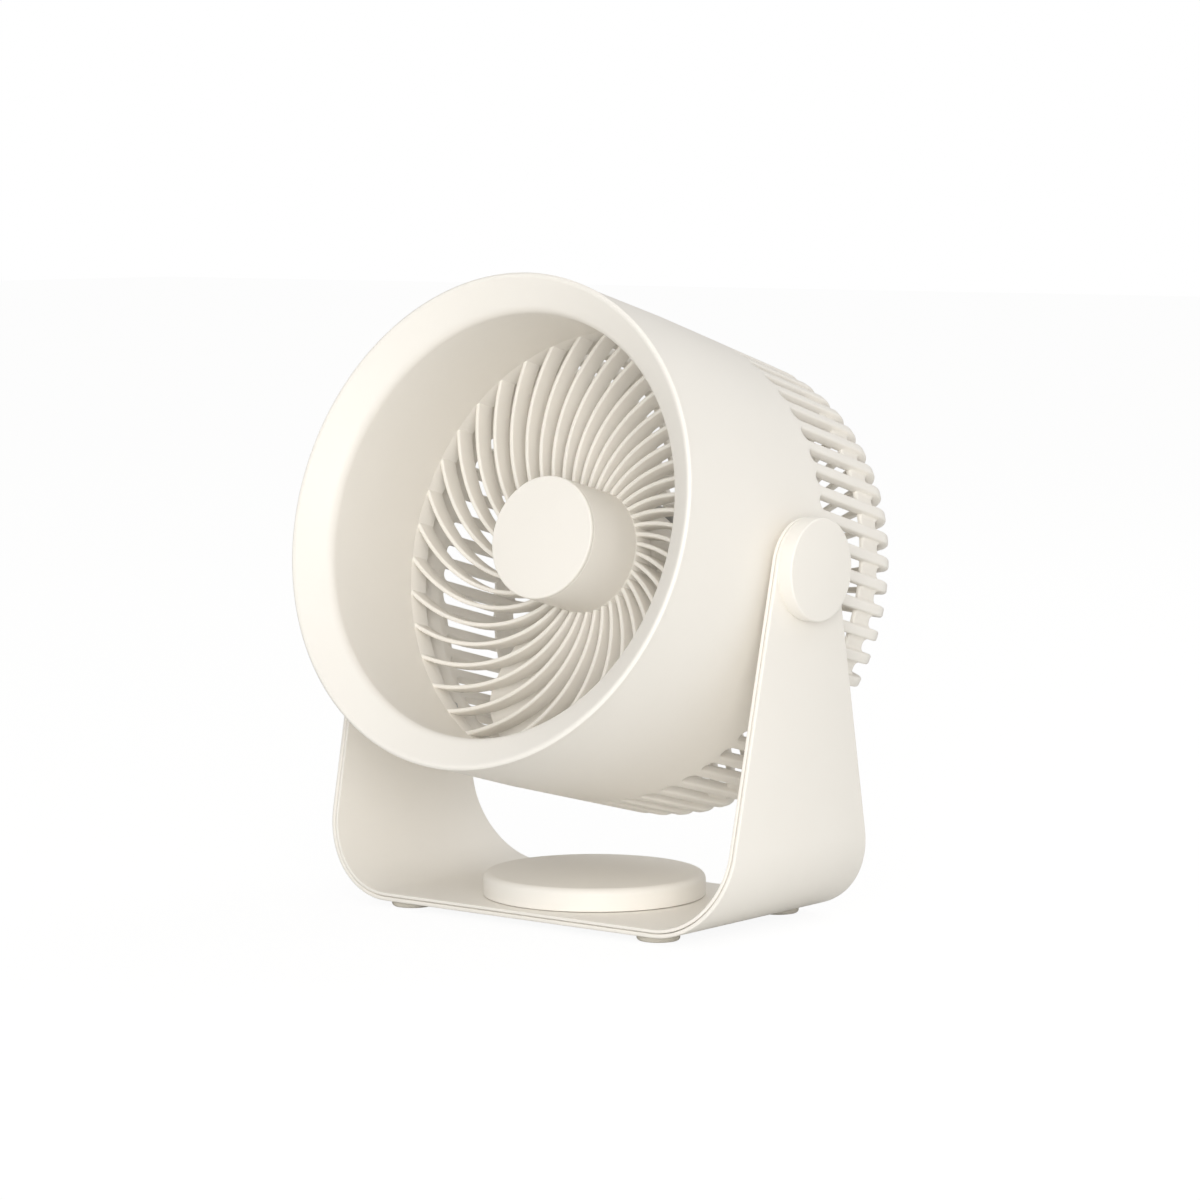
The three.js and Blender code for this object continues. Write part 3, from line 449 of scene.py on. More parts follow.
# A pan head with a cross recess: the dome's faces fall away inside a four-armed outline
def screwShape(length):
    head, side, shank, fade = screws["head"], screws["side"], screws["shank"], screws["sideFade"]
    rows = []
    for i in range(screws["segments"]):
        angle = 2 * math.pi * i / screws["segments"]
        row = [(0, -length)] + [(shank * k, -length + shank * k) for k in (0.6, 1)]
        row += [(shank, 0), (head, screws["seat"]), (head, side)]
        points = [(r * math.cos(angle), y, r * math.sin(angle)) for r, y in row]
        for k in range(screws["rings"] + 1):
            r = head * (1 - k / screws["rings"])
            x, z = r * math.cos(angle), r * math.sin(angle)
            y = side + (screws["height"] - side) * math.sqrt(max(0, 1 - (r / head) ** screws["dome"]))
            narrow, wide = sorted((abs(x), abs(z)))
            if narrow < screws["cross"] + fade and wide < screws["crossReach"]:
                fall = min(1, (screws["cross"] + fade - narrow) / fade)
                fall *= min(1, (screws["crossReach"] - wide) / screws["endFade"])
                y -= screws["crossDepth"] * fall
            points.append((x, y, z))
        rows.append(points)
    return sheet(rows, True)


baseScrew = screwShape(screws["baseLength"])
for i, corner in enumerate(corners, 1):
    x = base["screwCircle"] * math.cos(math.radians(corner))
    y = base["screwCircle"] * math.sin(math.radians(corner))
    spot = (onStand @ Matrix.Translation((x, y, stand["floor"] - base["screwSink"]))
            @ Matrix.Rotation(-quarter, 4, "X"))
    makePiece(f"baseScrew{i}", baseScrew, spot, "stand", "zinc", [f"base_screw_{i}"])
print("base made")


# Rim, sloping face and flaring duct, turned in one
rim = {
    "radius": 110, "lip": 2.4, "lipDepth": 3, "bevel": 1.0, "lipFall": 0.5, "throat": 94.1,
    "throatDepth": 9.6, "throatRounding": 6, "ductRadius": 100.8, "ductEnd": 74.1, "ductWall": 2,
    "ductFlare": 0.4, "skirt": 106.9, "skirtWall": 1.5, "skirtEnd": 9, "under": 2.65,
    "towerRadius": 2.3, "towerBore": 1.58, "towerCircle": 104.6, "towerLength": 12,
}
faceSlope = rim["throatDepth"] / (rim["radius"] - rim["lip"] - rim["throat"])
underAt = lambda r: (rim["radius"] - rim["lip"] - r) * faceSlope + rim["under"]
ductOutside = rim["throat"] + rim["ductWall"] + rim["ductFlare"]
skirtInside = rim["skirt"] - rim["skirtWall"]
rimShape = turned(filleted([
    (rim["radius"], rim["bevel"], 0.5), (rim["radius"] - rim["bevel"], 0, 0.9),
    (rim["radius"] - rim["lip"], rim["lipFall"], 1.2),
    (rim["throat"], rim["throatDepth"], rim["throatRounding"]),
    (rim["ductRadius"], rim["ductEnd"], 0.05), (rim["ductRadius"] + rim["ductWall"], rim["ductEnd"], 0.3),
    (ductOutside, underAt(ductOutside), 1), (skirtInside, underAt(skirtInside), 0.5),
    (skirtInside, rim["skirtEnd"], 0.4), (rim["skirt"], rim["skirtEnd"], 0.4),
    (rim["skirt"], rim["lipDepth"], 0), (rim["radius"], rim["lipDepth"], 0.2),
], 6), 288)
towerStart = rim["ductEnd"] - rim["towerLength"]
tower = turned(filleted([
    (rim["towerBore"], towerStart, 0), (rim["towerRadius"], towerStart, 0.4),
    (rim["towerRadius"], rim["ductEnd"], 0), (rim["towerBore"], rim["ductEnd"], 0),
]), 24)
towers = [around(tower, angle, rim["towerCircle"]) for angle in corners]
makePiece("rimAndDuct", together(rimShape, *towers), onHead, "head", "cream", ["front_ring"])
print("rim made")


# Drum: a tapering wall, and ribs that run round the corner onto the back
drum = {
    "front": 3.3, "frontRadius": 109.5, "backRadius": 107.6, "taperStart": 60, "corner": 15.5,
    "chamfer": 15.5, "depth": 166.98, "wall": 2.3, "ribWall": 5.2, "backWall": 4.5, "thickFrom": 92.5,
    "thickAt": 97, "ribs": 60, "slotHalf": 3.15, "widest": 0.74, "slotStart": 101.5, "backHoop": 64,
    "beforeSlot": 3, "afterSlot": 2, "edge": 1.1, "frontEdge": 0.3,
}
cornerStart = drum["depth"] - drum["corner"]
cornerEnd = cornerStart + drum["corner"] * quarter
cornerRadius = drum["backRadius"] - drum["corner"]
pitch = 2 * math.pi / drum["ribs"]
halfPitch = pitch / 2 * drum["backRadius"]
chamferMiddle = quarter - math.radians(drum["chamfer"])


# A point of the drum: across (mm at the back radius), how far along from the rim, how deep.
# The round corner ends in a narrow flat, which keeps the drum within the CAD's box
def drumPoint(across, along, under):
    if along <= cornerStart:
        share = shareOf(along, drum["taperStart"], cornerStart)
        r = drum["frontRadius"] + (drum["backRadius"] - drum["frontRadius"]) * share - under
        y = along
    elif along <= cornerEnd:
        angle = (along - cornerStart) / drum["corner"]
        flat = math.cos(math.radians(drum["chamfer"])) / max(0.1, math.cos(angle - chamferMiddle))
        spoke = drum["corner"] * min(1, flat) - under
        r = cornerRadius + spoke * math.cos(angle)
        y = cornerStart + spoke * math.sin(angle)
    else:
        r = cornerRadius - (along - cornerEnd)
        y = drum["depth"] - under
    angle = across / drum["backRadius"]
    return r * math.cos(angle), y, r * math.sin(angle)


def wallAt(along):
    share = shareOf(along, drum["thickFrom"], drum["thickAt"])
    return drum["wall"] + (drum["ribWall"] - drum["wall"]) * share


def ribDepth(along):
    share = shareOf(along, cornerStart, cornerEnd)
    return drum["ribWall"] + (drum["backWall"] - drum["ribWall"]) * share


# Half of one pitch of the drum, from a slot's middle to a rib's middle
def drumPitch():
    half, start = drum["slotHalf"], drum["slotStart"]
    middle = start + half
    slotEnd = cornerEnd + cornerRadius - drum["backHoop"]
    endMiddle = slotEnd - half
    top, bottom = start - drum["beforeSlot"], slotEnd + drum["afterSlot"]
    across = [0, halfPitch * 0.34, halfPitch * 0.68, halfPitch]
    endSteps, straightSteps, cornerSteps = 6, 6, 14
    sideSteps = endSteps + 1 - len(across)
    turns = [quarter * k / endSteps for k in range(endSteps + 1)]

    def width(along):  # the slot keeps its real width on the back, until the ribs come close
        r = math.hypot(*drumPoint(0, along, 0)[::2])
        return min(half * drum["backRadius"] / r, drum["widest"] * halfPitch)

    def slotEdge(inset):
        edge = [((half + inset) * math.sin(turn), middle - (half + inset) * math.cos(turn)) for turn in turns]
        straight = [middle + (cornerStart - middle) * k / straightSteps for k in range(1, straightSteps)]
        straight += [cornerStart + (cornerEnd - cornerStart) * k / cornerSteps
                     for k in range(cornerSteps + 1)]
        straight += [cornerEnd + (endMiddle - cornerEnd) * k / straightSteps for k in range(1, straightSteps)]
        edge += [(width(along) + inset, along) for along in straight]
        edge += [((width(endMiddle) + inset) * math.cos(turn), endMiddle + (half + inset) * math.sin(turn))
                 for turn in turns]
        return edge

    inner = slotEdge(drum["edge"])
    outer = [(u, top) for u in across]
    outer += [(halfPitch, top + (middle - top) * k / sideSteps) for k in range(1, sideSteps + 1)]
    outer += [(halfPitch, along) for u, along in inner[endSteps + 1:-endSteps - 1]]
    outer += [(halfPitch, endMiddle + (bottom - endMiddle) * k / sideSteps) for k in range(sideSteps)]
    outer += [(u, bottom) for u in reversed(across)]
    section = roundedEdge(drum["edge"], 4)
    rows = [[drumPoint(u, along, 0) for u, along in outer]]
    rows += [[drumPoint(u, along, under) for u, along in slotEdge(inset)] for inset, under in section]
    rows += [[drumPoint(u, along, ribDepth(along) - under) for u, along in slotEdge(inset)]
             for inset, under in reversed(section)]
    rows.append([drumPoint(u, along, ribDepth(along)) for u, along in outer])

    front, edge = drum["front"], drum["frontEdge"]
    levels = [front + edge, 20, 40, drum["taperStart"], 75, drum["thickFrom"], drum["thickAt"], top]
    profile = [(along, wallAt(along)) for along in reversed(levels)]
    profile += [(front, drum["wall"] - edge), (front, edge)]
    profile += [(along, 0) for along in levels]
    plain = sheet([[drumPoint(u, along, under) for u in across] for along, under in profile])
    return together(sheet(rows), plain)


# The hoop between two ribs: filleted to them, rounded in front, and cut round where the back's slot starts
hoop = {
    "from": 139.5, "to": 153.4, "under": 3.3, "fillet": 1.9, "frontEdge": 1.4, "rearEdge": 2.4,
    "overlap": 0.6, "short": 0.15,
}


def hoopPitch():
    half, fillet = drum["slotHalf"] + hoop["overlap"], hoop["fillet"] + hoop["overlap"]
    halfSteps = 12
    across = [half * math.sin(quarter * k / halfSteps) for k in range(-halfSteps, halfSteps + 1)]
    depth = drum["ribWall"] - hoop["short"]
    flatStart = hoop["from"] + hoop["frontEdge"]

    def level(u):
        beside = max(0, abs(u) - (half - fillet)) / fillet
        return hoop["under"] - fillet * (1 - math.sqrt(max(0, 1 - beside * beside)))

    def rear(u):
        return hoop["to"] + half - math.sqrt(max(0, half * half - u * u))

    rows = [[drumPoint(u, hoop["from"], depth) for u in across]]
    rows += [[drumPoint(u, hoop["from"] + inset, min(depth, level(u) + under)) for u in across]
             for inset, under in reversed(roundedEdge(hoop["frontEdge"], 6))]
    rows += [[drumPoint(u, flatStart + share * (rear(u) - hoop["rearEdge"] - flatStart), level(u))
              for u in across] for share in (0.25, 0.5, 0.75)]
    rows += [[drumPoint(u, rear(u) - inset, min(depth, level(u) + under)) for u in across]
             for inset, under in roundedEdge(hoop["rearEdge"], 8)]
    rows.append([drumPoint(u, rear(u), depth) for u in across])
    return sheet(rows, True)


pitchShape = drumPitch()
mirroredPitch = moved(pitchShape, Matrix.Scale(-1, 4, (0, 0, 1)))
onePitch = together(pitchShape, mirroredPitch, hoopPitch())
drumShapes = [around(onePitch, i * 360 / drum["ribs"]) for i in range(drum["ribs"])]

back = {
    "hoop": 62, "hoopGap": 0.05, "cup": 39.6, "cupOverlap": 0.4, "slots": 30, "share": 0.56, "slotFrom": 41.5,
    "slotTo": 60, "thick": 4.5, "edge": 0.5, "cupWall": 2, "plate": 150.2, "plateWall": 3,
    "postRadius": 3.4, "postBore": 1.9, "postCircle": 31, "postEnd": 164.2, "postSink": 0.4,
    "postAngles": (0, 180),
}


# Half of one pitch of the back's inner ring of slots
def backPitch():
    pitchAngle = math.pi / back["slots"]
    slotAngle = pitchAngle * back["share"]
    behind, front = drum["depth"], drum["depth"] - back["thick"]
    roundEnd = [0, 0.004, 0.016, 0.04, 0.075, 0.12, 0.17]
    shares = roundEnd + [0.3, 0.5, 0.7, 0.83, 0.88, 0.925, 0.96, 0.984, 0.996, 1]

    def slotEdge(inset):
        points = []
        for share in shares:
            r = back["slotTo"] + inset - (back["slotTo"] - back["slotFrom"] + 2 * inset) * share
            near = min(r - back["slotFrom"] + inset, back["slotTo"] + inset - r)
            width = slotAngle * r + inset
            if near < width:
                width = math.sqrt(max(0, width ** 2 - (width - near) ** 2))
            points.append((r, width / r))
        return points

    cornerSteps = 4
    turns = [pitchAngle * k / cornerSteps for k in range(cornerSteps + 1)]
    outer = [(back["hoop"] + back["hoopGap"], turn) for turn in turns]
    outer += [(r, pitchAngle) for r, turn in slotEdge(back["edge"])[cornerSteps + 1:-cornerSteps - 1]]
    outer += [(back["cup"] - back["cupOverlap"], turn) for turn in reversed(turns)]
    put = lambda points, y: [(r * math.cos(turn), y, r * math.sin(turn)) for r, turn in points]
    section = roundedEdge(back["edge"], 3)
    rows = [put(outer, behind)]
    rows += [put(slotEdge(inset), behind - under) for inset, under in section]
    rows += [put(slotEdge(inset), front + under) for inset, under in reversed(section)]
    rows.append(put(outer, front))
    return sheet(rows)


backHalf = backPitch()
backWhole = together(backHalf, moved(backHalf, Matrix.Scale(-1, 4, (0, 0, 1))))
drumShapes += [around(backWhole, i * 360 / back["slots"]) for i in range(back["slots"])]
plateBack = back["plate"] + back["plateWall"]
drumShapes.append(turned(filleted([
    (0, back["plate"], 0), (back["cup"], back["plate"], 0.8), (back["cup"], drum["depth"], 0.3),
    (back["cup"] - back["cupWall"], drum["depth"], 0.4), (back["cup"] - back["cupWall"], plateBack, 0.5),
    (0, plateBack, 0),
], closed=False), 128, False))
pads = {"radius": 15, "x": 112, "from": 106.8, "core": 8, "coreX": 103.3, "bore": 5.3, "rounding": 0.5}
padShape = turned(filleted([
    (pads["bore"], pads["coreX"], 0.3), (pads["core"], pads["coreX"], 0.4), (pads["core"], pads["from"], 0),
    (pads["radius"], pads["from"], 0), (pads["radius"], pads["x"], pads["rounding"]),
    (pads["bore"], pads["x"], 0.3),
]), 64)
drumShapes += [moved(padShape, onHead.inverted() @ out) for out in (outRight, outLeft)]
lug = {"from": 85.3, "thick": 3, "half": 2.3, "inside": 102.3, "outside": 107.6, "corner": 1.5}
lugOutline = filleted([
    (lug["inside"], -lug["half"], lug["corner"]), (lug["outside"], -lug["half"], 0),
    (lug["outside"], lug["half"], 0), (lug["inside"], lug["half"], lug["corner"]),
], 4)
lugLevels = (lug["from"], lug["from"] + lug["thick"])
lugShape = stacked([[(x, y, z) for x, z in lugOutline] for y in lugLevels])
drumShapes += [around(lugShape, angle) for angle in corners]
postStart = plateBack - back["postSink"]
post = turned(filleted([
    (back["postBore"], postStart, 0), (back["postRadius"], postStart, 0),
    (back["postRadius"], back["postEnd"], 0.3), (back["postBore"], back["postEnd"], 0.2),
]), 32)
drumShapes += [around(post, angle, back["postCircle"]) for angle in back["postAngles"]]
makePiece("drum", together(*drumShapes), onHead, "head", "cream", ["rear_housing"], 40)
print("drum made")


# Grille: curved fins between two rings, and the hub in the middle
grille = {
    "fins": 40, "thickness": 2, "front": 74.5, "end": 84.5, "twist": 0.57, "phase": 1.8, "hub": 27.8,
    "from": 26.9, "to": 101.6, "ringFront": 74.15, "ringEnd": 85, "ringRadius": 100.8, "ringWall": 1.9,
    "hubWall": 2.8, "frontRounding": 0.85, "backRounding": 0.5, "stations": 30, "lugFront": 74.2,
}


def finShape():
    half = grille["thickness"] / 2
    outline = filleted([
        (-half, grille["front"], grille["frontRounding"]), (half, grille["front"], grille["frontRounding"]),
        (half, grille["end"], grille["backRounding"]), (-half, grille["end"], grille["backRounding"]),
    ], 4)
    rows = []
    for i in range(grille["stations"] + 1):
        r = grille["from"] + (grille["to"] - grille["from"]) * i / grille["stations"]
        angle = -math.radians(grille["twist"] * (r - grille["hub"]))
        heading = angle + math.atan(-r * math.radians(grille["twist"]))
        rows.append([(r * math.cos(angle) - offset * math.sin(heading), y,
                      r * math.sin(angle) + offset * math.cos(heading)) for offset, y in outline])
    return stacked(rows)


hubInside, ringOutside = grille["hub"] - grille["hubWall"], grille["ringRadius"] + grille["ringWall"]
hubRing = turned(filleted([
    (hubInside, grille["ringFront"], 0.3), (grille["hub"], grille["ringFront"], 0.3),
    (grille["hub"], grille["ringEnd"], 0.4), (hubInside, grille["ringEnd"], 0.3),
]), 128)
outerRing = turned(filleted([
    (grille["ringRadius"], grille["ringFront"], 0.05), (ringOutside, grille["ringFront"], 0.3),
    (ringOutside, grille["ringEnd"], 0.4), (grille["ringRadius"], grille["ringEnd"], 0.4),
]), 240)
grilleLug = turned([
    (rim["towerBore"], grille["lugFront"]), (rim["towerRadius"], grille["lugFront"]),
    (rim["towerRadius"], grille["ringEnd"]), (rim["towerBore"], grille["ringEnd"]),
], 24)
oneFin = finShape()
finShapes = [around(oneFin, grille["phase"] + i * 360 / grille["fins"]) for i in range(grille["fins"])]
grilleLugs = [around(grilleLug, angle, rim["towerCircle"]) for angle in corners]
makePiece("swirlGrille", together(hubRing, outerRing, *finShapes, *grilleLugs), onHead, "head",
          "cream", ["front_grille"])

hub = {
    "radius": 27.8, "face": 40.9, "cap": 2, "seam": 0.3, "end": 73.9, "wall": 1.8, "edge": 1.0,
    "spigot": 24.7, "spigotBore": 22.9, "reach": 4, "lipGap": 0.3, "lipInside": 2.1,
}
capBack, barrelStart = hub["face"] + hub["cap"], hub["face"] + hub["cap"] + hub["seam"]
inside, floorAt = hub["radius"] - hub["wall"], hub["end"] - hub["wall"]
barrelShape = turned(filleted([
    (hub["radius"], barrelStart, 0.2), (hub["radius"], hub["end"], 0.2), (hub["spigot"], hub["end"], 0),
    (hub["spigot"], hub["end"] + hub["reach"], 0.3), (hub["spigotBore"], hub["end"] + hub["reach"], 0.3),
    (hub["spigotBore"], floorAt, 0), (inside, floorAt, 0), (inside, barrelStart, 0.1),
]), 160)
makePiece("hubBarrel", barrelShape, onHead, "head", "cream", ["hub_barrel"])
lipOuter, lipInner, lipEnd = inside - hub["lipGap"], inside - hub["lipInside"], capBack + hub["reach"]
hubCapShape = turned(filleted([
    (0, hub["face"], 0), (hub["radius"], hub["face"], hub["edge"]), (hub["radius"], capBack, 0.15),
    (lipOuter, capBack, 0), (lipOuter, lipEnd, 0.3), (lipInner, lipEnd, 0.3), (lipInner, capBack, 0),
    (0, capBack, 0),
], 6, False), 160, False)
makePiece("hubCap", hubCapShape, onHead, "head", "cream", ["hub_cap"])
print("grille made")


# Fan wheel: three broad blades on a cup
wheel = {
    "radius": 98, "hub": 26.5, "front": 87, "depth": 25, "wall": 2.2, "edge": 3, "bore": 3.3, "boss": 7.3,
    "bossShort": 2, "blades": 3, "thickness": 1.8, "sweep": 53, "turn": 3, "skew": 18, "rise": 22,
    "tipRise": 15, "camber": 3,
}


# A point lies at u from hub to tip, at v from one edge to the other, and at w through the thickness
def bladeShape(turn):
    spanSteps, widthSteps = 36, 28

    def point(u, v, w):
        r = wheel["hub"] - 1 + u * (wheel["radius"] - wheel["hub"] + 1)
        spread = wheel["sweep"] * (1 - 0.25 * (1 - u) - 0.3 * max(0, u - 0.8))
        corner = max(0, u - 0.86) / 0.14
        spread *= 1 - 0.30 * corner * corner
        angle = math.radians(turn + v * spread + wheel["skew"] * u * u)
        rise = wheel["rise"] + (wheel["tipRise"] - wheel["rise"]) * u
        camber = wheel["camber"] * (1 - 4 * v * v) * u
        thin = wheel["thickness"] * min(1, 0.35 + 3.2 * (0.5 - abs(v))) * min(1, 0.4 + 9 * (1 - u))
        y = wheel["front"] + wheel["depth"] / 2 + v * rise - camber + w * thin
        return r * math.cos(angle), y, r * math.sin(angle)

    loops = []
    for i in range(spanSteps + 1):
        u = i / spanSteps
        over = [point(u, -0.5 + k / widthSteps, -0.5) for k in range(widthSteps + 1)]
        under = [point(u, 0.5 - k / widthSteps, 0.5) for k in range(widthSteps + 1)]
        loops.append(over + under)
    points, faces = sheet(loops, False, True)
    count = len(loops[0])
    for start in (0, len(points) - count):
        for k in range(widthSteps):
            faces.append((start + k, start + k + 1, start + count - 2 - k, start + count - 1 - k))
    return points, faces


wheelBack = wheel["front"] + wheel["depth"]
bossBack = wheelBack - wheel["bossShort"]
wheelInside, cupFloor = wheel["hub"] - wheel["wall"], wheel["front"] + wheel["edge"]
wheelCup = turned(filleted([
    (wheel["bore"], wheel["front"], 0.2), (wheel["hub"], wheel["front"], wheel["edge"]),
    (wheel["hub"], wheelBack, 0.4), (wheelInside, wheelBack, 0.3), (wheelInside, cupFloor, 1),
    (wheel["boss"], cupFloor, 0.5), (wheel["boss"], bossBack, 0.3), (wheel["bore"], bossBack, 0.2),
]), 96)
blades = [bladeShape(wheel["turn"] + i * 360 / wheel["blades"]) for i in range(wheel["blades"])]
makePiece("fanWheel", together(wheelCup, *blades), onHead, "rotor", "cream", ["impeller"])


# Motor casing, seen through the slots
motor = {
    "front": 116, "radius": 30, "wall": 2.1, "half": 16.8, "bore": 3.6, "seam": 0.3, "rounding": 2,
    "floor": 2.4, "pocket": 10.4, "pocketBore": 8.3, "pocketEnd": 7.4,
}
motorInside = motor["radius"] - motor["wall"]
motorEnd = 2 * motor["half"] + motor["seam"]
casing = filleted([
    (motor["bore"], 0, 0.2), (motor["radius"], 0, motor["rounding"]), (motor["radius"], motor["half"], 0.3),
    (motorInside, motor["half"], 0.2), (motorInside, motor["floor"], 0.5),
    (motor["pocket"], motor["floor"], 0.3), (motor["pocket"], motor["pocketEnd"], 0.2),
    (motor["pocketBore"], motor["pocketEnd"], 0), (motor["pocketBore"], motor["wall"], 0),
    (motor["bore"], motor["wall"], 0),
])
frontCasing = turned([(r, motor["front"] + y) for r, y in casing], 96)
rearCasing = turned([(r, motor["front"] + motorEnd - y) for r, y in casing], 96)
makePiece("motorFront", frontCasing, onHead, "head", "darkSteel", ["motor_front_shell"])
makePiece("motorRear", rearCasing, onHead, "head", "darkSteel", ["motor_rear_shell"])
print("wheel and motor made")


# Controls on the back
controls = {
    "radius": 37.3, "from": 164.5, "back": 167, "rounding": 0.7, "inletBelow": 25, "spindleBore": 3.6,
    "inletBore": 5.1, "screwBore": 1.9, "screwSeat": 167.3,
}


# The cover is a disc with four round holes, so its two faces are filled between the holes
def coverShape():
    low, high, edge = controls["from"], controls["back"], controls["rounding"]
    holes = [(0, 0, controls["spindleBore"]), (0, -controls["inletBelow"], controls["inletBore"]),
             (back["postCircle"], 0, controls["screwBore"]), (-back["postCircle"], 0, controls["screwBore"])]
    discSegments, holeSegments = 128, 40
    shape = bmesh.new()

    def ring(x, z, radius, y, count):
        verts = [shape.verts.new((x + radius * math.cos(2 * math.pi * k / count), y,
                                  z + radius * math.sin(2 * math.pi * k / count))) for k in range(count)]
        edges = [shape.edges.new((verts[k], verts[(k + 1) % count])) for k in range(count)]
        return verts, edges

    def bridge(first, second):
        count = len(first)
        for k in range(count):
            shape.faces.new((first[k], first[(k + 1) % count], second[(k + 1) % count], second[k]))

    outside = [ring(0, 0, controls["radius"] - inset, y, discSegments) for inset, y in (
        (0.3, low), (0, low + 0.3), (0, high - edge), (edge * 0.3, high - edge * 0.3), (edge, high))]
    for first, second in zip(outside, outside[1:]):
        bridge(first[0], second[0])
    lowEdges, highEdges = list(outside[0][1]), list(outside[-1][1])
    for x, z, radius in holes:
        bored = [ring(x, z, radius + inset, y, holeSegments) for inset, y in (
            (0, low), (0, high - 0.35), (0.1, high - 0.1), (0.35, high))]
        for first, second in zip(bored, bored[1:]):
            bridge(first[0], second[0])
        lowEdges += bored[0][1]
        highEdges += bored[-1][1]
    for edges in (lowEdges, highEdges):
        bmesh.ops.triangle_fill(shape, use_beauty=True, use_dissolve=False, edges=edges)
    shape.verts.index_update()
    points = [tuple(vert.co) for vert in shape.verts]
    faces = [tuple(vert.index for vert in face.verts) for face in shape.faces]
    shape.free()
    return points, faces


makePiece("controlCover", coverShape(), onHead, "head", "cream", ["control_cover"])
coverScrew = screwShape(screws["coverLength"])
for i, angle in enumerate(back["postAngles"], 1):
    spot = (onHead @ Matrix.Rotation(-math.radians(angle), 4, "Y")
            @ Matrix.Translation((back["postCircle"], controls["screwSeat"], 0)))
    makePiece(f"coverScrew{i}", coverScrew, spot, "head", "zinc", [f"cover_screw_{i}"])

knob = {
    "radius": 16.5, "from": 168, "height": 11, "bore": 3.3, "taper": 0.7, "rounding": 1.2, "teeth": 36,
    "stepsPerTooth": 6, "toothDepth": 0.45, "toothBand": 2.2, "gripWidth": 8, "gripHeight": 5,
    "gripShort": 1.6, "gripCorner": 2.6,
}


# Knob: a toothed disc with a bar across it to turn it by
def knobShape():
    low, top = knob["from"], knob["from"] + knob["height"]
    discTop = top - knob["gripHeight"]
    profile = filleted([
        (knob["bore"], low, 0), (knob["radius"], low, 0.4),
        (knob["radius"] - knob["taper"], discTop, knob["rounding"]), (0, discTop, 0),
    ], 5, False)
    count = knob["teeth"] * knob["stepsPerTooth"]
    rows = []
    for i in range(count):
        angle = 2 * math.pi * i / count
        notch = knob["toothDepth"] * max(0, math.cos(knob["teeth"] * angle)) ** 2
        row = []
        for r, y in profile:
            depth = notch if r > knob["radius"] - knob["toothBand"] else 0
            row.append(((r - depth) * math.cos(angle), y, (r - depth) * math.sin(angle)))
        rows.append(row)

    def gripOutline(inset):
        x, z = knob["gripWidth"] / 2 - inset, knob["radius"] - knob["gripShort"] - inset
        return filleted([(a, b, knob["gripCorner"]) for a, b in ((-x, -z), (x, -z), (x, z), (-x, z))], 6)

    levels = [(discTop - 1, -0.2), (discTop + 0.3, 0), (top - 1.4, 0.35), (top - 0.6, 0.6),
              (top - 0.15, 1.1), (top, 1.7)]
    grip = stacked([[(x, y, z) for x, z in gripOutline(inset)] for y, inset in levels])
    return together(sheet(rows, True), grip)


makePiece("speedKnob", knobShape(), onHead, "knob", "cream", ["speed_knob"])
inlet = {"radius": 4.8, "bore": 2.9, "pin": 0.9, "back": 168.2, "length": 12.2, "pocket": 9, "pinShort": 1.5}
inletFront, pocketFloor, pinEnd = (inlet["back"] - inlet[key] for key in ("length", "pocket", "pinShort"))
inletShape = turned(filleted([
    (0, inletFront, 0), (inlet["radius"], inletFront, 0.3), (inlet["radius"], inlet["back"], 0.4),
    (inlet["bore"], inlet["back"], 0.4), (inlet["bore"], pocketFloor, 0), (inlet["pin"], pocketFloor, 0),
    (inlet["pin"], pinEnd, 0.4), (0, pinEnd, 0),
], closed=False), 64, False)
makePiece("powerInlet", inletShape, onHead @ Matrix.Translation((0, 0, -controls["inletBelow"])), "head",
          "black", ["power_inlet"])
print("controls made")


# Pale floor and soft white room
room = {
    "white": 1.0, "size": 9, "air": 0.57, "airColour": (1, 0.995, 0.985, 1), "cameraShare": 0.85,
    "floorShine": 1.075, "floorLight": (0.80, 0.80, 0.79, 1), "floorDeep": (0.78, 0.78, 0.77, 1),
}


# The floor shows nearly white to the camera, and keeps a soft shadow
def floorFinish():
    finish = Finish("paleFloor")
    rays = finish.node("ShaderNodeLightPath", output="Is Camera Ray")
    shine = finish.node("ShaderNodeEmission", {}, {"Color": (1, 1, 1, 1), "Strength": room["floorShine"]})
    tone = finish.colour(finish.noise(3, 2.0), room["floorLight"], room["floorDeep"])
    plain = finish.node("ShaderNodeBsdfDiffuse", {}, {"Color": tone})
    mixed = finish.node("ShaderNodeMixShader", {}, {0: rays * room["cameraShare"], 1: plain, 2: shine})
    return finish.closeWith(mixed)


floorMesh = bpy.data.meshes.new("floorSheet")
reach = room["size"]
floorCorners = [(-reach, -reach, 0), (reach, -reach, 0), (reach, reach, 0), (-reach, reach, 0)]
floorMesh.from_pydata(floorCorners, [], [(0, 1, 2, 3)])
floor = bpy.data.objects.new("floorSheet", floorMesh)
bpy.context.scene.collection.objects.link(floor)
floorMesh.materials.append(floorFinish())

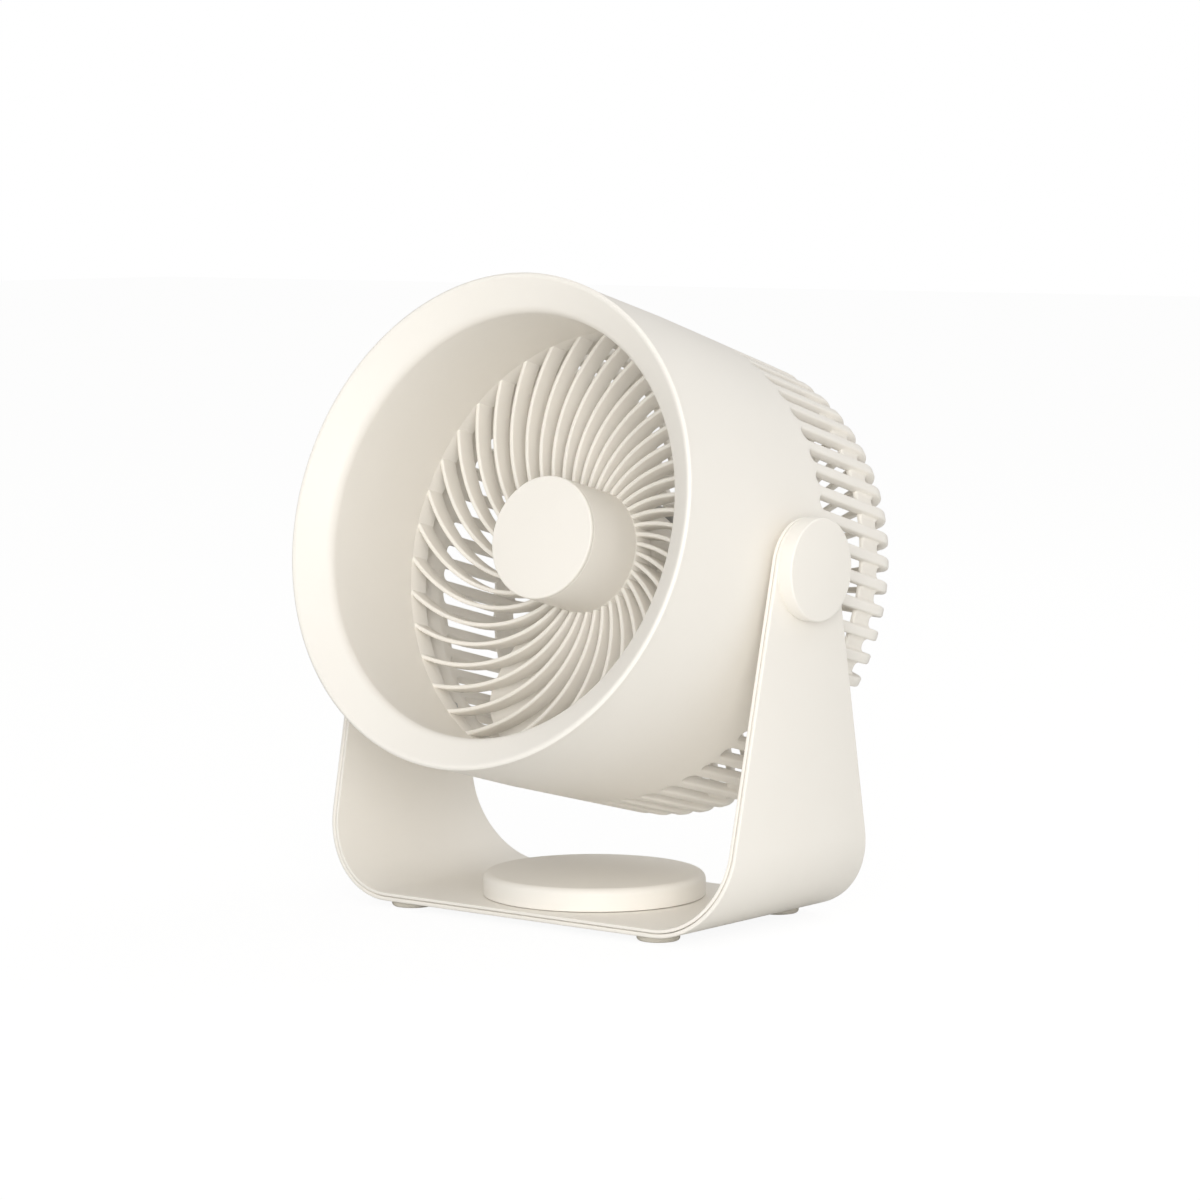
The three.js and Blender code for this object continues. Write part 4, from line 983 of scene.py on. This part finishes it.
world = bpy.data.worlds.new("softRoom")
bpy.context.scene.world = world
world.use_nodes = True
sky = world.node_tree
sky.nodes.clear()
lightPath = sky.nodes.new("ShaderNodeLightPath")
roomLight = sky.nodes.new("ShaderNodeBackground")
roomLight.inputs["Color"].default_value = room["airColour"]
roomLight.inputs["Strength"].default_value = room["air"]
seenLight = sky.nodes.new("ShaderNodeBackground")
seenLight.inputs["Color"].default_value = (1, 1, 1, 1)
seenLight.inputs["Strength"].default_value = room["white"]
either = sky.nodes.new("ShaderNodeMixShader")
skyOut = sky.nodes.new("ShaderNodeOutputWorld")
sky.links.new(lightPath.outputs["Is Camera Ray"], either.inputs[0])
sky.links.new(roomLight.outputs[0], either.inputs[1])
sky.links.new(seenLight.outputs[0], either.inputs[2])
sky.links.new(either.outputs[0], skyOut.inputs["Surface"])


# Level 1 alone would show a surface that faces the lamp in its own colour
def softLight(name, place, size, level, tint):
    aim = Vector(lampTarget) - Vector(place)
    lamp = bpy.data.lights.new(name, "AREA")
    lamp.shape = "DISK"
    lamp.size = size
    lamp.energy = level * math.pi ** 2 * aim.length_squared
    lamp.color = tint
    holder = bpy.data.objects.new(name, lamp)
    bpy.context.scene.collection.objects.link(holder)
    holder.location = place
    holder.rotation_euler = aim.to_track_quat("-Z", "Y").to_euler()
    holder.visible_camera = False


lampTarget = (0, 0, 0.15)
lights = {
    "frontLight": {"place": (1.41, -1.81, 0.35), "size": 1.5, "level": 0.68, "tint": (1, 0.997, 0.99)},
    "sideLight": {"place": (1.31, -1.1, 1.9), "size": 1.5, "level": 0.06, "tint": (1, 0.997, 0.99)},
    "backLight": {"place": (0.4, 1.5, 1.8), "size": 1.4, "level": 0.13, "tint": (1, 1, 1)},
}
for name, light in lights.items():
    softLight(name, **light)

# Camera at the photograph's place: the place in metres, tilt and turn in degrees, lens and film in mm
view = {
    "place": (1.158033, -1.465870, 0.326645), "tilt": 85.359, "turn": 38.249, "lens": 125.54, "film": 36,
    "lift": -0.06537, "farthest": 50,
}
camera = bpy.data.cameras.new("viewer")
camera.lens = view["lens"]
camera.sensor_width = view["film"]
camera.shift_y = view["lift"]
camera.clip_end = view["farthest"]
viewer = bpy.data.objects.new("viewer", camera)
bpy.context.scene.collection.objects.link(viewer)
viewer.location = view["place"]
viewer.rotation_euler = (math.radians(view["tilt"]), 0, math.radians(view["turn"]))
bpy.context.scene.camera = viewer
bpy.context.scene.view_settings.view_transform = "Standard"
print("lights and camera set")
